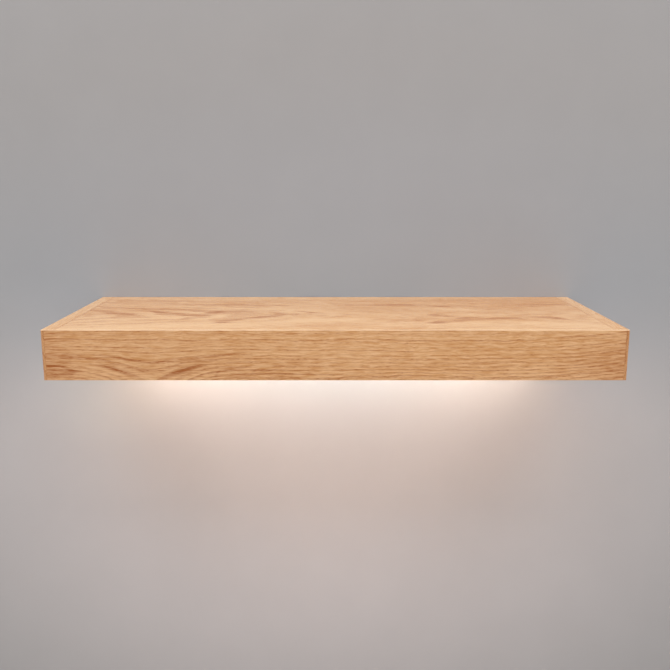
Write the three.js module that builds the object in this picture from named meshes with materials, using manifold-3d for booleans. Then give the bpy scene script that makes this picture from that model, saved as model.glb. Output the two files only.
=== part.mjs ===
// A floating wall shelf: a hollow oak box that slides onto two steel rods, with a line light in its
// underside that washes the wall. Millimetres. +Z is up, the front faces -Y, and the wall is the plane
// Y = 0. The origin is the middle of the back of the steel plate that is screwed to the wall.

import * as THREE from 'three';
import { mergeVertices } from 'three/addons/utils/BufferGeometryUtils.js';
import Module from 'manifold-3d';

const wasm = await Module();
wasm.setup();

// The shelf, outside
const SHELF_LENGTH = 600;
const SHELF_DEPTH = 220;
const SHELF_HEIGHT = 53;
const BOARD = 14;
const END_LIP = 3;
const ARRIS = 0.8;
const GLUE_LINE = 0.1;
const WALL_GAP = 0.5;

// Wood inside the box
const RAIL_THICK = 18;
const BLOCK_WIDTH = 44;
const RIB_WIDTH = 18;
const DOWEL_DIAMETER = 6;
const DOWEL_LENGTH = 24;
const DOWEL_SKIN = 4;
const DOWEL_PLAY = 0.3;
const DOWEL_CHAMFER = 0.8;
const DOWEL_DEPTH_SHARES = [ 0.27, 0.73 ];

// Wall plate and rods
const PLATE_BEYOND_ROD = 25;
const PLATE_THICK = 5;
const PLATE_PLAY = 0.3;
const PLATE_SEAT = 0.5;
const PLATE_CORNER = 4;
const WALL_HOLE = 5.5;
const WALL_HOLE_HEAD = 11;
const WALL_HOLE_COUNT = 4;
const ROD_FROM_END = 110;
const ROD_DIAMETER = 12;
const ROD_LENGTH = 150;
const ROD_CHAMFER = 1.5;
const ROD_PLAY = 0.3;
const BORE_RUN_ON = 8;

// Countersunk machine screws that hold the rods to the plate
const ROD_SCREW = 6;
const ROD_SCREW_HEAD = 10;
const ROD_SCREW_LENGTH = 20;
const ROD_SCREW_TIP = 0.8;
const ROD_SCREW_SINK = 0.3;
const ROD_SCREW_KEY = 4;
const ROD_SCREW_KEY_DEPTH = 1.8;
const THREAD_PLAY = 0.3;

// Wood screws that hold the rail to the blocks and the rib
const RAIL_SCREW = 4;
const RAIL_SCREW_HEAD = 8;
const RAIL_SCREW_LENGTH = 50;
const RAIL_SCREW_TIP = 1.5;
const RAIL_SCREW_SINK = 0.3;
const RAIL_SCREW_KEY = 2.6;
const RAIL_SCREW_KEY_DEPTH = 1.5;
const RAIL_SCREW_OFFSET = 15;

// Locking screws in brass inserts, under the rods
const LOCK_FROM_TIP = 45;
const LOCK_SCREW = 6;
const LOCK_SCREW_CHAMFER = 0.7;
const LOCK_SINK = 0.2;
const LOCK_GAP = 0.3;
const LOCK_KEY = 3;
const LOCK_KEY_DEPTH = 3;
const INSERT_DIAMETER = 9;
const INSERT_LENGTH = 12;
const INSERT_FLANGE = 13;
const INSERT_FLANGE_THICK = 1.2;
const INSERT_PLAY = 0.2;

// Line light
const LIGHT_FROM_WALL = 50;
const LIGHT_FROM_END = 40;
const CHANNEL_WIDTH = 17.6;
const CHANNEL_DEPTH = 7.5;
const CHANNEL_WALL = 1.2;
const FLANGE_WIDTH = 24;
const FLANGE_THICK = 1;
const CHANNEL_PLAY = 0.2;
const CAP_THICK = 2;
const CAP_TONGUE = 4;
const CAP_TONGUE_WIDTH = 9;
const COVER_THICK = 1.6;
const COVER_LEG = 2.8;
const COVER_LEG_THICK = 1;
const COVER_PLAY = 0.3;
const STRIP_WIDTH = 10;
const STRIP_THICK = 0.6;
const STRIP_MARGIN = 22;
const CHIP_LENGTH = 3.4;
const CHIP_WIDTH = 2.8;
const CHIP_THICK = 1;
const CHIP_PITCH = 20;

// Lead from the light to the inlet
const LEAD_DIAMETER = 3;
const LEAD_HOLE = 7;
const LEAD_HOLE_FROM_END = 16;
const LEAD_RUN_HEIGHT = 10;
const LEAD_LOOP_WIDTH = 16;
const LEAD_LOOP_LENGTH = 58;
const LEAD_BEND = 7;
const LEAD_START_BEND = 5;
const LEAD_PLAY = 0.3;
const CLIP_WIDTH = 8;
const CLIP_LENGTH = 6;
const CLIP_WALL = 1.2;
const CLIP_FROM_LIGHT = 26;

// Low-voltage inlet in the rail
const INLET_FLANGE = 12;
const INLET_FLANGE_THICK = 2;
const INLET_BODY = 8;
const INLET_BODY_LENGTH = 13;
const INLET_WEB = 6;
const INLET_POCKET = 17;
const INLET_BORE = 5.5;
const INLET_BORE_DEPTH = 9.5;
const INLET_PIN = 2;
const INLET_PIN_SINK = 0.8;
const INLET_PLAY = 0.3;
const INLET_NUT = 11;
const INLET_NUT_THICK = 2.5;
const INLET_TAG_LENGTH = 3;
const INLET_TAG_WIDTH = 2;
const INLET_TAG_THICK = 0.6;
const INLET_TAG_OFFSET = 2.6;

// How far a cut runs past the face that it starts from, and how many flats a round has
const OVERRUN = 1;
const FLATS = 24;
const SMALL_FLATS = 16;

// Places that follow from the sizes above
const TOP = SHELF_HEIGHT / 2;
const UNDERSIDE = - TOP;
const CEILING = TOP - BOARD;
const FLOOR = - CEILING;
const FRONT = - SHELF_DEPTH;
const FRONT_INNER = FRONT + BOARD;
const BACK = - WALL_GAP;
const END = SHELF_LENGTH / 2;
const END_INNER = END - BOARD;
const RAIL_BACK = - ( PLATE_THICK + PLATE_SEAT );
const RAIL_FRONT = RAIL_BACK - RAIL_THICK;
const RIB_BACK = RAIL_FRONT - GLUE_LINE;
const RIB_FRONT = FRONT_INNER + GLUE_LINE;
const ROD_X = END - ROD_FROM_END;
const PLATE_END = ROD_X + PLATE_BEYOND_ROD;
const ROD_TIP = - ( PLATE_THICK + ROD_LENGTH );
const BORE = ROD_DIAMETER + 2 * ROD_PLAY;
const LOCK_Y = ROD_TIP + LOCK_FROM_TIP;
const LIGHT_Y = - LIGHT_FROM_WALL;
const LIGHT_END = END - LIGHT_FROM_END;
const CHANNEL_END = LIGHT_END - CAP_THICK;
const CHANNEL_ROOF = CHANNEL_DEPTH - CHANNEL_WALL;
const CHANNEL_INSIDE = CHANNEL_WIDTH - 2 * CHANNEL_WALL;
const STRIP_END = CHANNEL_END - STRIP_MARGIN;
const LEAD_HOLE_X = LIGHT_END - LEAD_HOLE_FROM_END;
const LEAD_RUN_Z = FLOOR + LEAD_RUN_HEIGHT;
const LEAD_LOOP_Y = LIGHT_Y - LEAD_LOOP_LENGTH;
const INLET_X = LEAD_HOLE_X + LEAD_LOOP_WIDTH;
const INLET_WEB_FRONT = RAIL_BACK - INLET_WEB;
const INLET_END = RAIL_BACK - INLET_BODY_LENGTH;

// Colours and finishes
const oak = { color: 0xd0a06f, roughness: 0.55, metalness: 0 };
const endOak = { color: 0xc08f60, roughness: 0.6, metalness: 0 };
const coreWood = { color: 0xdcc39a, roughness: 0.75, metalness: 0 };
const dowelWood = { color: 0xd9b98a, roughness: 0.7, metalness: 0 };
const blackSteel = { color: 0x2b2c2e, roughness: 0.5, metalness: 0.6 };
const zincSteel = { color: 0xb4b6b8, roughness: 0.35, metalness: 1 };
const brass = { color: 0xc2a15a, roughness: 0.3, metalness: 1 };
const aluminium = { color: 0xc9cbce, roughness: 0.35, metalness: 1 };
const opal = { color: 0xf6efe3, roughness: 0.5, metalness: 0, emissive: 0xffd9b0 };
const whiteBoard = { color: 0xf0efea, roughness: 0.5, metalness: 0 };
const greyPlastic = { color: 0xbfc0c2, roughness: 0.5, metalness: 0 };
const blackPlastic = { color: 0x1d1d1f, roughness: 0.45, metalness: 0 };
const leadSleeve = { color: 0xe6e4df, roughness: 0.5, metalness: 0 };

// Plain shapes

function block( x, y, z ) {

	const geometry = new THREE.BoxGeometry( x[ 1 ] - x[ 0 ], y[ 1 ] - y[ 0 ], z[ 1 ] - z[ 0 ] );
	return geometry.translate( ( x[ 0 ] + x[ 1 ] ) / 2, ( y[ 0 ] + y[ 1 ] ) / 2, ( z[ 0 ] + z[ 1 ] ) / 2 );

}

// Turns a shape drawn in X and Y and extruded along Z, so that these become Y, Z and X.
function turnedAlongX( geometry ) {

	const x = new THREE.Vector3( 1, 0, 0 );
	const y = new THREE.Vector3( 0, 1, 0 );
	const z = new THREE.Vector3( 0, 0, 1 );
	return geometry.applyMatrix4( new THREE.Matrix4().makeBasis( y, z, x ) );

}

// An outline of [ y, z ] points, drawn out along X.
function alongX( outline, from, to ) {

	const shape = new THREE.Shape( outline.map( ( [ y, z ] ) => new THREE.Vector2( y, z ) ) );
	const geometry = new THREE.ExtrudeGeometry( shape, { depth: to - from, bevelEnabled: false } );
	return turnedAlongX( geometry ).translate( from, 0, 0 );

}

// A stretch of X on one side, from an inner to an outer distance, with the lower value first.
function span( sign, inner, outer ) {

	return sign > 0 ? [ inner, outer ] : [ - outer, - inner ];

}

// A profile of [ radius, y ] points from the lowest y to the highest, turned about the Y axis.
function turned( profile, flats = FLATS ) {

	return new THREE.LatheGeometry( profile.map( ( [ r, y ] ) => new THREE.Vector2( r, y ) ), flats );

}

function drill( diameter, from, to, flats = FLATS ) {

	return turned( [ [ 0, from ], [ diameter / 2, from ], [ diameter / 2, to ], [ 0, to ] ], flats );

}

// Turns a shape made about the Y axis upright, so that its +Y end points up.
function upright( geometry ) {

	return geometry.rotateX( Math.PI / 2 );

}

// Joining and cutting

function solid( geometry ) {

	const bare = geometry.clone();
	bare.deleteAttribute( 'normal' );
	bare.deleteAttribute( 'uv' );
	const merged = mergeVertices( bare );
	return new wasm.Manifold( new wasm.Mesh( {
		numProp: 3,
		vertProperties: merged.attributes.position.array,
		triVerts: new Uint32Array( merged.index.array ),
	} ) );

}

function cut( geometry, ...tools ) {

	return tools.reduce( ( body, tool ) => body.subtract( solid( tool ) ), solid( geometry ) );

}

function join( geometry, ...others ) {

	return others.reduce( ( body, other ) => body.add( solid( other ) ), solid( geometry ) );

}

function geometryOf( body ) {

	const { vertProperties, triVerts } = body.getMesh();
	const geometry = new THREE.BufferGeometry();
	geometry.setAttribute( 'position', new THREE.BufferAttribute( vertProperties, 3 ) );
	geometry.setIndex( new THREE.BufferAttribute( triVerts, 1 ) );
	return geometry.toNonIndexed();

}

// A named piece. The shape is a three.js geometry or a cut or joined body.
function piece( name, shape, finish ) {

	const geometry = shape.isBufferGeometry ? shape : geometryOf( shape );
	geometry.computeVertexNormals();
	const mesh = new THREE.Mesh( geometry, new THREE.MeshStandardMaterial( finish ) );
	mesh.name = name;
	return mesh;

}

function placed( mesh, x, y, z ) {

	mesh.position.set( x, y, z );
	return mesh;

}

const SIDES = [ [ 'left', - 1 ], [ 'right', 1 ] ];
const LEVELS = [ [ 'top', 1 ], [ 'bottom', - 1 ] ];

// Screws. Each is made about the Y axis with the top of its head at zero, pointing to -Y.

function screwProfile( size, grown = 0 ) {

	const shank = size.diameter / 2 + grown;
	const head = size.head / 2 + grown;
	const end = - size.length - grown;
	return [
		[ 0, end ],
		[ shank - size.tip, end ],
		[ shank, end + size.tip ],
		[ shank, shank - head ],
		[ head, 0 ],
	];

}

function countersunkScrew( size ) {

	const key = new THREE.CylinderGeometry( size.key / 2, size.key / 2, size.keyDepth * 2, 6 );
	return cut( turned( [ ...screwProfile( size ), [ 0, 0 ] ], SMALL_FLATS ), key );

}

// The room that a screw takes, open past its head.
function screwRoom( size, play ) {

	const profile = screwProfile( size, play );
	const head = size.head / 2 + play;
	return turned( [ ...profile, [ head, size.sink + OVERRUN ], [ 0, size.sink + OVERRUN ] ], SMALL_FLATS );

}

const rodScrew = {
	diameter: ROD_SCREW,
	head: ROD_SCREW_HEAD,
	length: ROD_SCREW_LENGTH,
	tip: ROD_SCREW_TIP,
	sink: ROD_SCREW_SINK,
	key: ROD_SCREW_KEY,
	keyDepth: ROD_SCREW_KEY_DEPTH,
};

const railScrew = {
	diameter: RAIL_SCREW,
	head: RAIL_SCREW_HEAD,
	length: RAIL_SCREW_LENGTH,
	tip: RAIL_SCREW_TIP,
	sink: RAIL_SCREW_SINK,
	key: RAIL_SCREW_KEY,
	keyDepth: RAIL_SCREW_KEY_DEPTH,
};

// Places of the rail's screws, as names and X: two to each rod block and one to the rib.
const railScrews = [ [ 'middle', 0 ] ];
for ( const [ side, sign ] of SIDES ) {

	railScrews.push( [ side + '_outer', sign * ( ROD_X + RAIL_SCREW_OFFSET ) ] );
	railScrews.push( [ side + '_inner', sign * ( ROD_X - RAIL_SCREW_OFFSET ) ] );

}

const RAIL_SCREW_Y = RAIL_BACK - RAIL_SCREW_SINK;

// The bracket on the wall

function wallPlate() {

	const half = CEILING - PLATE_PLAY;
	const outline = new THREE.Shape();
	const x = PLATE_END - PLATE_CORNER;
	const z = half - PLATE_CORNER;
	outline.absarc( x, - z, PLATE_CORNER, - Math.PI / 2, 0 );
	outline.absarc( x, z, PLATE_CORNER, 0, Math.PI / 2 );
	outline.absarc( - x, z, PLATE_CORNER, Math.PI / 2, Math.PI );
	outline.absarc( - x, - z, PLATE_CORNER, Math.PI, Math.PI * 1.5 );
	const plate = upright( new THREE.ExtrudeGeometry( outline, {
		depth: PLATE_THICK,
		bevelEnabled: false,
		curveSegments: 4,
	} ) );

	// The wall screws' holes stand in the middles of equal stretches between the rods.
	const tools = [];
	const hole = WALL_HOLE / 2;
	const head = WALL_HOLE_HEAD / 2;
	const pitch = 2 * ROD_X / WALL_HOLE_COUNT;
	for ( let i = 0; i < WALL_HOLE_COUNT; i ++ ) {

		const countersunk = turned( [
			[ 0, - PLATE_THICK - OVERRUN ],
			[ head, - PLATE_THICK - OVERRUN ],
			[ head, - PLATE_THICK ],
			[ hole, - PLATE_THICK + head - hole ],
			[ hole, OVERRUN ],
			[ 0, OVERRUN ],
		] );
		tools.push( countersunk.translate( ( i - ( WALL_HOLE_COUNT - 1 ) / 2 ) * pitch, 0, 0 ) );

	}

	for ( const [ , sign ] of SIDES ) {

		tools.push( screwRoom( rodScrew, THREAD_PLAY ).translate( sign * ROD_X, - ROD_SCREW_SINK, 0 ) );

	}

	return piece( 'wall_plate', cut( plate, ...tools ), blackSteel );

}

// A rod, with the hole for its screw in the end that stands on the plate.
function rod( side, sign ) {

	const radius = ROD_DIAMETER / 2;
	const tapped = ROD_SCREW / 2 + THREAD_PLAY;
	const tappedDepth = ROD_SCREW_LENGTH + ROD_SCREW_SINK - PLATE_THICK + OVERRUN;
	const shape = turned( [
		[ 0, - ROD_LENGTH ],
		[ radius - ROD_CHAMFER, - ROD_LENGTH ],
		[ radius, ROD_CHAMFER - ROD_LENGTH ],
		[ radius, 0 ],
		[ tapped, 0 ],
		[ tapped, - tappedDepth ],
		[ 0, - tappedDepth ],
	] );
	return placed( piece( 'rod_' + side, shape, zincSteel ), sign * ROD_X, - PLATE_THICK, 0 );

}

function bracket() {

	const group = new THREE.Group();
	group.add( wallPlate() );
	for ( const [ side, sign ] of SIDES ) {

		group.add( rod( side, sign ) );
		const screw = piece( 'rod_screw_' + side, countersunkScrew( rodScrew ), zincSteel );
		group.add( placed( screw, sign * ROD_X, - ROD_SCREW_SINK, 0 ) );

	}

	return group;

}

// The box of boards

// The shelf's outer form: a block with every arris eased by a small flat, but for those on the wall.
function outerForm() {

	const slant = Math.SQRT2 * ARRIS;
	const outline = new THREE.Shape( [
		new THREE.Vector2( FRONT + ARRIS, UNDERSIDE + slant ),
		new THREE.Vector2( FRONT + slant, UNDERSIDE + ARRIS ),
		new THREE.Vector2( OVERRUN, UNDERSIDE + ARRIS ),
		new THREE.Vector2( OVERRUN, TOP - ARRIS ),
		new THREE.Vector2( FRONT + slant, TOP - ARRIS ),
		new THREE.Vector2( FRONT + ARRIS, TOP - slant ),
	] );
	return turnedAlongX( new THREE.ExtrudeGeometry( outline, {
		depth: SHELF_LENGTH - 2 * ARRIS,
		bevelThickness: ARRIS,
		bevelSize: ARRIS,
		bevelSegments: 1,
	} ) ).translate( ARRIS - END, 0, 0 );

}

// The top or bottom board, mitred where it meets the front board.
function levelBoard( level ) {

	const outline = [
		[ BACK, level * CEILING ],
		[ BACK, level * TOP ],
		[ FRONT + GLUE_LINE, level * TOP ],
		[ FRONT_INNER + GLUE_LINE, level * CEILING ],
	];
	return alongX( level < 0 ? outline : outline.reverse(), GLUE_LINE - END_INNER, END_INNER - GLUE_LINE );

}

function frontBoard() {

	const end = END - END_LIP - GLUE_LINE;
	const outline = [
		[ FRONT, UNDERSIDE ],
		[ FRONT_INNER, FLOOR ],
		[ FRONT_INNER, CEILING ],
		[ FRONT, TOP ],
	];
	return piece( 'front_board', solid( alongX( outline, - end, end ) ).intersect( solid( outerForm() ) ), oak );

}

// The rebate in an end board that takes the front board's end.
function frontRebate( sign ) {

	const outline = [
		[ FRONT - OVERRUN, UNDERSIDE - OVERRUN - GLUE_LINE ],
		[ FRONT_INNER + GLUE_LINE, FLOOR ],
		[ FRONT_INNER + GLUE_LINE, CEILING ],
		[ FRONT - OVERRUN, TOP + OVERRUN + GLUE_LINE ],
	];
	const [ from, to ] = span( sign, END_INNER - OVERRUN, END - END_LIP );
	return alongX( outline, from, to );

}

// Dowels. Each lies along X, with half its length in an end board.

function dowelPlaces( sign ) {

	const x = sign * ( END - DOWEL_SKIN - DOWEL_PLAY - DOWEL_LENGTH / 2 );
	const places = [ [ 'rail', x, ( RAIL_BACK + RAIL_FRONT ) / 2, 0 ] ];
	for ( const [ level, up ] of LEVELS ) {

		DOWEL_DEPTH_SHARES.forEach( ( share, i ) => {

			const name = level + '_' + [ 'back', 'front' ][ i ];
			places.push( [ name, x, share * FRONT, up * ( CEILING + TOP ) / 2 ] );

		} );

	}

	return places;

}

function dowelHoles( sign ) {

	const length = DOWEL_LENGTH / 2 + DOWEL_PLAY;
	return dowelPlaces( sign ).map( ( [ , x, y, z ] ) => {

		const hole = drill( DOWEL_DIAMETER + 2 * DOWEL_PLAY, - length, length, SMALL_FLATS );
		return hole.rotateZ( - Math.PI / 2 ).translate( x, y, z );

	} );

}

function dowels( side, sign ) {

	const radius = DOWEL_DIAMETER / 2;
	const half = DOWEL_LENGTH / 2;
	const group = new THREE.Group();
	for ( const [ name, x, y, z ] of dowelPlaces( sign ) ) {

		const shape = turned( [
			[ 0, - half ],
			[ radius - DOWEL_CHAMFER, - half ],
			[ radius, DOWEL_CHAMFER - half ],
			[ radius, half - DOWEL_CHAMFER ],
			[ radius - DOWEL_CHAMFER, half ],
			[ 0, half ],
		], SMALL_FLATS ).rotateZ( - Math.PI / 2 );
		group.add( placed( piece( 'dowel_' + side + '_' + name, shape, dowelWood ), x, y, z ) );

	}

	return group;

}

function allDowelHoles() {

	return SIDES.flatMap( ( [ , sign ] ) => dowelHoles( sign ) );

}

function endBoard( side, sign ) {

	const board = block( span( sign, END_INNER, END ), [ FRONT, BACK ], [ UNDERSIDE, TOP ] );
	const body = cut( board, frontRebate( sign ), ...dowelHoles( sign ) ).intersect( solid( outerForm() ) );
	return piece( 'end_board_' + side, body, endOak );

}

function topBoard() {

	const body = cut( levelBoard( 1 ), ...allDowelHoles() ).intersect( solid( outerForm() ) );
	return piece( 'top_board', body, oak );

}

function bottomBoard() {

	const flange = FLANGE_WIDTH / 2 + CHANNEL_PLAY;
	const channel = CHANNEL_WIDTH / 2 + CHANNEL_PLAY;
	const end = LIGHT_END + CHANNEL_PLAY;
	const below = UNDERSIDE - OVERRUN;
	const flangeRebate = block(
		[ - end, end ],
		[ LIGHT_Y - flange, LIGHT_Y + flange ],
		[ below, UNDERSIDE + FLANGE_THICK + CHANNEL_PLAY ]
	);
	const groove = block(
		[ - end, end ],
		[ LIGHT_Y - channel, LIGHT_Y + channel ],
		[ below, UNDERSIDE + CHANNEL_DEPTH + CHANNEL_PLAY ]
	);
	const leadHole = upright( drill( LEAD_HOLE, below, FLOOR + OVERRUN, SMALL_FLATS ) );
	const tools = [ flangeRebate, groove, leadHole.translate( LEAD_HOLE_X, LIGHT_Y, 0 ), ...allDowelHoles() ];
	for ( const [ , sign ] of SIDES ) {

		const sleeve = upright( drill( INSERT_DIAMETER + 2 * INSERT_PLAY, below, FLOOR + OVERRUN ) );
		const seat = UNDERSIDE + LOCK_SINK + INSERT_FLANGE_THICK + INSERT_PLAY;
		const rim = upright( drill( INSERT_FLANGE + 2 * INSERT_PLAY, below, seat ) );
		tools.push( sleeve.translate( sign * ROD_X, LOCK_Y, 0 ), rim.translate( sign * ROD_X, LOCK_Y, 0 ) );

	}

	const body = cut( levelBoard( - 1 ), ...tools ).intersect( solid( outerForm() ) );
	return piece( 'bottom_board', body, oak );

}

// Wood inside the box

function rearRail() {

	const end = END_INNER - GLUE_LINE;
	const height = CEILING - GLUE_LINE;
	const tools = allDowelHoles();
	for ( const [ , sign ] of SIDES ) {

		const bore = drill( BORE, RAIL_FRONT - OVERRUN, RAIL_BACK + OVERRUN );
		tools.push( bore.translate( sign * ROD_X, 0, 0 ) );

	}

	for ( const [ , x ] of railScrews ) {

		tools.push( screwRoom( railScrew, THREAD_PLAY ).translate( x, RAIL_SCREW_Y, 0 ) );

	}

	const neck = drill( INLET_BODY + 2 * INLET_PLAY, RAIL_FRONT - OVERRUN, RAIL_BACK + OVERRUN );
	const pocket = drill( INLET_POCKET, RAIL_FRONT - OVERRUN, INLET_WEB_FRONT );
	tools.push( neck.translate( INLET_X, 0, LEAD_RUN_Z ), pocket.translate( INLET_X, 0, LEAD_RUN_Z ) );
	const rail = block( [ - end, end ], [ RAIL_FRONT, RAIL_BACK ], [ - height, height ] );
	return piece( 'rear_rail', cut( rail, ...tools ), coreWood );

}

// A block between the rail and the front board, bored for a rod and for its locking screw.
function rodBlock( side, sign ) {

	const half = BLOCK_WIDTH / 2;
	const height = CEILING - GLUE_LINE;
	const tools = [
		drill( BORE, ROD_TIP - BORE_RUN_ON, RIB_BACK + OVERRUN ),
		upright( drill( LOCK_SCREW + 2 * THREAD_PLAY, - height - OVERRUN, 0, SMALL_FLATS ) ).translate( 0, LOCK_Y, 0 ),
	];
	for ( const offset of [ - RAIL_SCREW_OFFSET, RAIL_SCREW_OFFSET ] ) {

		tools.push( screwRoom( railScrew, THREAD_PLAY ).translate( offset, RAIL_SCREW_Y, 0 ) );

	}

	const wood = block( [ - half, half ], [ RIB_FRONT, RIB_BACK ], [ - height, height ] );
	return placed( piece( 'rod_block_' + side, cut( wood, ...tools ), coreWood ), sign * ROD_X, 0, 0 );

}

function middleRib() {

	const half = RIB_WIDTH / 2;
	const height = CEILING - GLUE_LINE;
	const wood = block( [ - half, half ], [ RIB_FRONT, RIB_BACK ], [ - height, height ] );
	const screw = screwRoom( railScrew, THREAD_PLAY ).translate( 0, RAIL_SCREW_Y, 0 );
	return piece( 'middle_rib', cut( wood, screw ), coreWood );

}

function core() {

	const group = new THREE.Group();
	group.add( rearRail(), middleRib() );
	for ( const [ side, sign ] of SIDES ) {

		group.add( rodBlock( side, sign ), dowels( side, sign ) );

	}

	for ( const [ name, x ] of railScrews ) {

		const screw = piece( 'rail_screw_' + name, countersunkScrew( railScrew ), zincSteel );
		group.add( placed( screw, x, RAIL_SCREW_Y, 0 ) );

	}

	return group;

}

function boards() {

	const group = new THREE.Group();
	group.add( topBoard(), bottomBoard(), frontBoard() );
	for ( const [ side, sign ] of SIDES ) {

		group.add( endBoard( side, sign ) );

	}

	return group;

}

// Locking screws and the brass inserts that they turn in

function insert( side ) {

	const outer = INSERT_DIAMETER / 2;
	const flange = INSERT_FLANGE / 2;
	const bore = LOCK_SCREW / 2 + THREAD_PLAY;
	const shape = turned( [
		[ bore, 0 ],
		[ flange, 0 ],
		[ flange, INSERT_FLANGE_THICK ],
		[ outer, INSERT_FLANGE_THICK ],
		[ outer, INSERT_LENGTH ],
		[ bore, INSERT_LENGTH ],
		[ bore, 0 ],
	] );
	return piece( 'insert_' + side, upright( shape ), brass );

}

function lockScrew( side ) {

	const radius = LOCK_SCREW / 2;
	const length = TOP - LOCK_SINK - LOCK_GAP - ROD_DIAMETER / 2;
	const shape = turned( [
		[ 0, 0 ],
		[ radius - LOCK_SCREW_CHAMFER, 0 ],
		[ radius, LOCK_SCREW_CHAMFER ],
		[ radius, length - LOCK_SCREW_CHAMFER ],
		[ radius - LOCK_SCREW_CHAMFER, length ],
		[ 0, length ],
	], SMALL_FLATS );
	const key = new THREE.CylinderGeometry( LOCK_KEY / 2, LOCK_KEY / 2, LOCK_KEY_DEPTH * 2, 6 );
	const body = cut( upright( shape ), upright( key ) );
	return piece( 'lock_screw_' + side, body, zincSteel );

}

function locks() {

	const group = new THREE.Group();
	for ( const [ side, sign ] of SIDES ) {

		group.add( placed( insert( side ), sign * ROD_X, LOCK_Y, UNDERSIDE + LOCK_SINK ) );
		group.add( placed( lockScrew( side ), sign * ROD_X, LOCK_Y, UNDERSIDE + LOCK_SINK ) );

	}

	return group;

}

// The line light. Its parts are drawn with Y from the light's middle and Z from the underside.

function channelOutside() {

	const half = CHANNEL_WIDTH / 2;
	const flange = FLANGE_WIDTH / 2;
	return [
		[ flange, 0 ],
		[ flange, FLANGE_THICK ],
		[ half, FLANGE_THICK ],
		[ half, CHANNEL_DEPTH ],
		[ - half, CHANNEL_DEPTH ],
		[ - half, FLANGE_THICK ],
		[ - flange, FLANGE_THICK ],
		[ - flange, 0 ],
	];

}

function lightChannel() {

	const inside = CHANNEL_INSIDE / 2;
	const outline = [
		...channelOutside(),
		[ - inside, 0 ],
		[ - inside, CHANNEL_ROOF ],
		[ inside, CHANNEL_ROOF ],
		[ inside, 0 ],
	];
	const hole = upright( drill( LEAD_HOLE, 0, CHANNEL_DEPTH + OVERRUN, SMALL_FLATS ) );
	const body = cut( alongX( outline, - CHANNEL_END, CHANNEL_END ), hole.translate( LEAD_HOLE_X, 0, 0 ) );
	return piece( 'light_channel', body, aluminium );

}

function lightCover() {

	const half = CHANNEL_INSIDE / 2 - COVER_PLAY;
	const inside = half - COVER_LEG_THICK;
	const outline = [
		[ - half, 0 ],
		[ half, 0 ],
		[ half, COVER_LEG ],
		[ inside, COVER_LEG ],
		[ inside, COVER_THICK ],
		[ - inside, COVER_THICK ],
		[ - inside, COVER_LEG ],
		[ - half, COVER_LEG ],
	];
	return piece( 'light_cover', alongX( outline, COVER_PLAY - CHANNEL_END, CHANNEL_END - COVER_PLAY ), opal );

}

function lightStrip() {

	const half = STRIP_WIDTH / 2;
	const face = CHANNEL_ROOF - STRIP_THICK;
	const strip = block( [ - STRIP_END, STRIP_END ], [ - half, half ], [ face, CHANNEL_ROOF ] );
	const count = Math.floor( ( 2 * STRIP_END - CHIP_LENGTH ) / CHIP_PITCH ) + 1;
	const chips = [];
	for ( let i = 0; i < count; i ++ ) {

		const x = ( i - ( count - 1 ) / 2 ) * CHIP_PITCH;
		chips.push( block(
			[ x - CHIP_LENGTH / 2, x + CHIP_LENGTH / 2 ],
			[ - CHIP_WIDTH / 2, CHIP_WIDTH / 2 ],
			[ face - CHIP_THICK, face + STRIP_THICK / 2 ]
		) );

	}

	return piece( 'light_strip', join( strip, ...chips ), whiteBoard );

}

function lightCap( side, sign ) {

	const half = CAP_TONGUE_WIDTH / 2;
	const plate = alongX( channelOutside(), ...span( sign, CHANNEL_END, LIGHT_END ) );
	const tongue = block(
		span( sign, CHANNEL_END - CAP_TONGUE, CHANNEL_END + CAP_THICK / 2 ),
		[ - half, half ],
		[ COVER_THICK + COVER_PLAY, CHANNEL_ROOF - COVER_PLAY ]
	);
	return piece( 'light_cap_' + side, join( plate, tongue ), greyPlastic );

}

function light() {

	const group = new THREE.Group();
	group.add( lightChannel(), lightCover(), lightStrip() );
	for ( const [ side, sign ] of SIDES ) {

		group.add( lightCap( side, sign ) );

	}

	group.position.set( 0, LIGHT_Y, UNDERSIDE );
	return group;

}

// The lead and the inlet

// A path through the corners, with each corner rounded off.
function roundedPath( corners, bends ) {

	const path = new THREE.CurvePath();
	let from = corners[ 0 ];
	for ( let i = 1; i < corners.length - 1; i ++ ) {

		const corner = corners[ i ];
		const before = corners[ i - 1 ].clone().sub( corner ).setLength( bends[ i - 1 ] ).add( corner );
		const after = corners[ i + 1 ].clone().sub( corner ).setLength( bends[ i - 1 ] ).add( corner );
		path.add( new THREE.LineCurve3( from, before ) );
		path.add( new THREE.QuadraticBezierCurve3( before, corner, after ) );
		from = after;

	}

	path.add( new THREE.LineCurve3( from, corners[ corners.length - 1 ] ) );
	return path;

}

function lead() {

	const startZ = UNDERSIDE + ( COVER_THICK + CHANNEL_ROOF ) / 2;
	const path = roundedPath( [
		new THREE.Vector3( STRIP_END + LEAD_PLAY, LIGHT_Y, startZ ),
		new THREE.Vector3( LEAD_HOLE_X, LIGHT_Y, startZ ),
		new THREE.Vector3( LEAD_HOLE_X, LIGHT_Y, LEAD_RUN_Z ),
		new THREE.Vector3( LEAD_HOLE_X, LEAD_LOOP_Y, LEAD_RUN_Z ),
		new THREE.Vector3( INLET_X, LEAD_LOOP_Y, LEAD_RUN_Z ),
		new THREE.Vector3( INLET_X, INLET_END - LEAD_PLAY, LEAD_RUN_Z ),
	], [ LEAD_START_BEND, LEAD_BEND, LEAD_BEND, LEAD_BEND ] );
	const section = new THREE.Shape();
	section.absarc( 0, 0, LEAD_DIAMETER / 2, 0, 2 * Math.PI );
	const shape = new THREE.ExtrudeGeometry( section, { steps: 64, curveSegments: 4, extrudePath: path } );
	return piece( 'light_lead', shape, leadSleeve );

}

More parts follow.
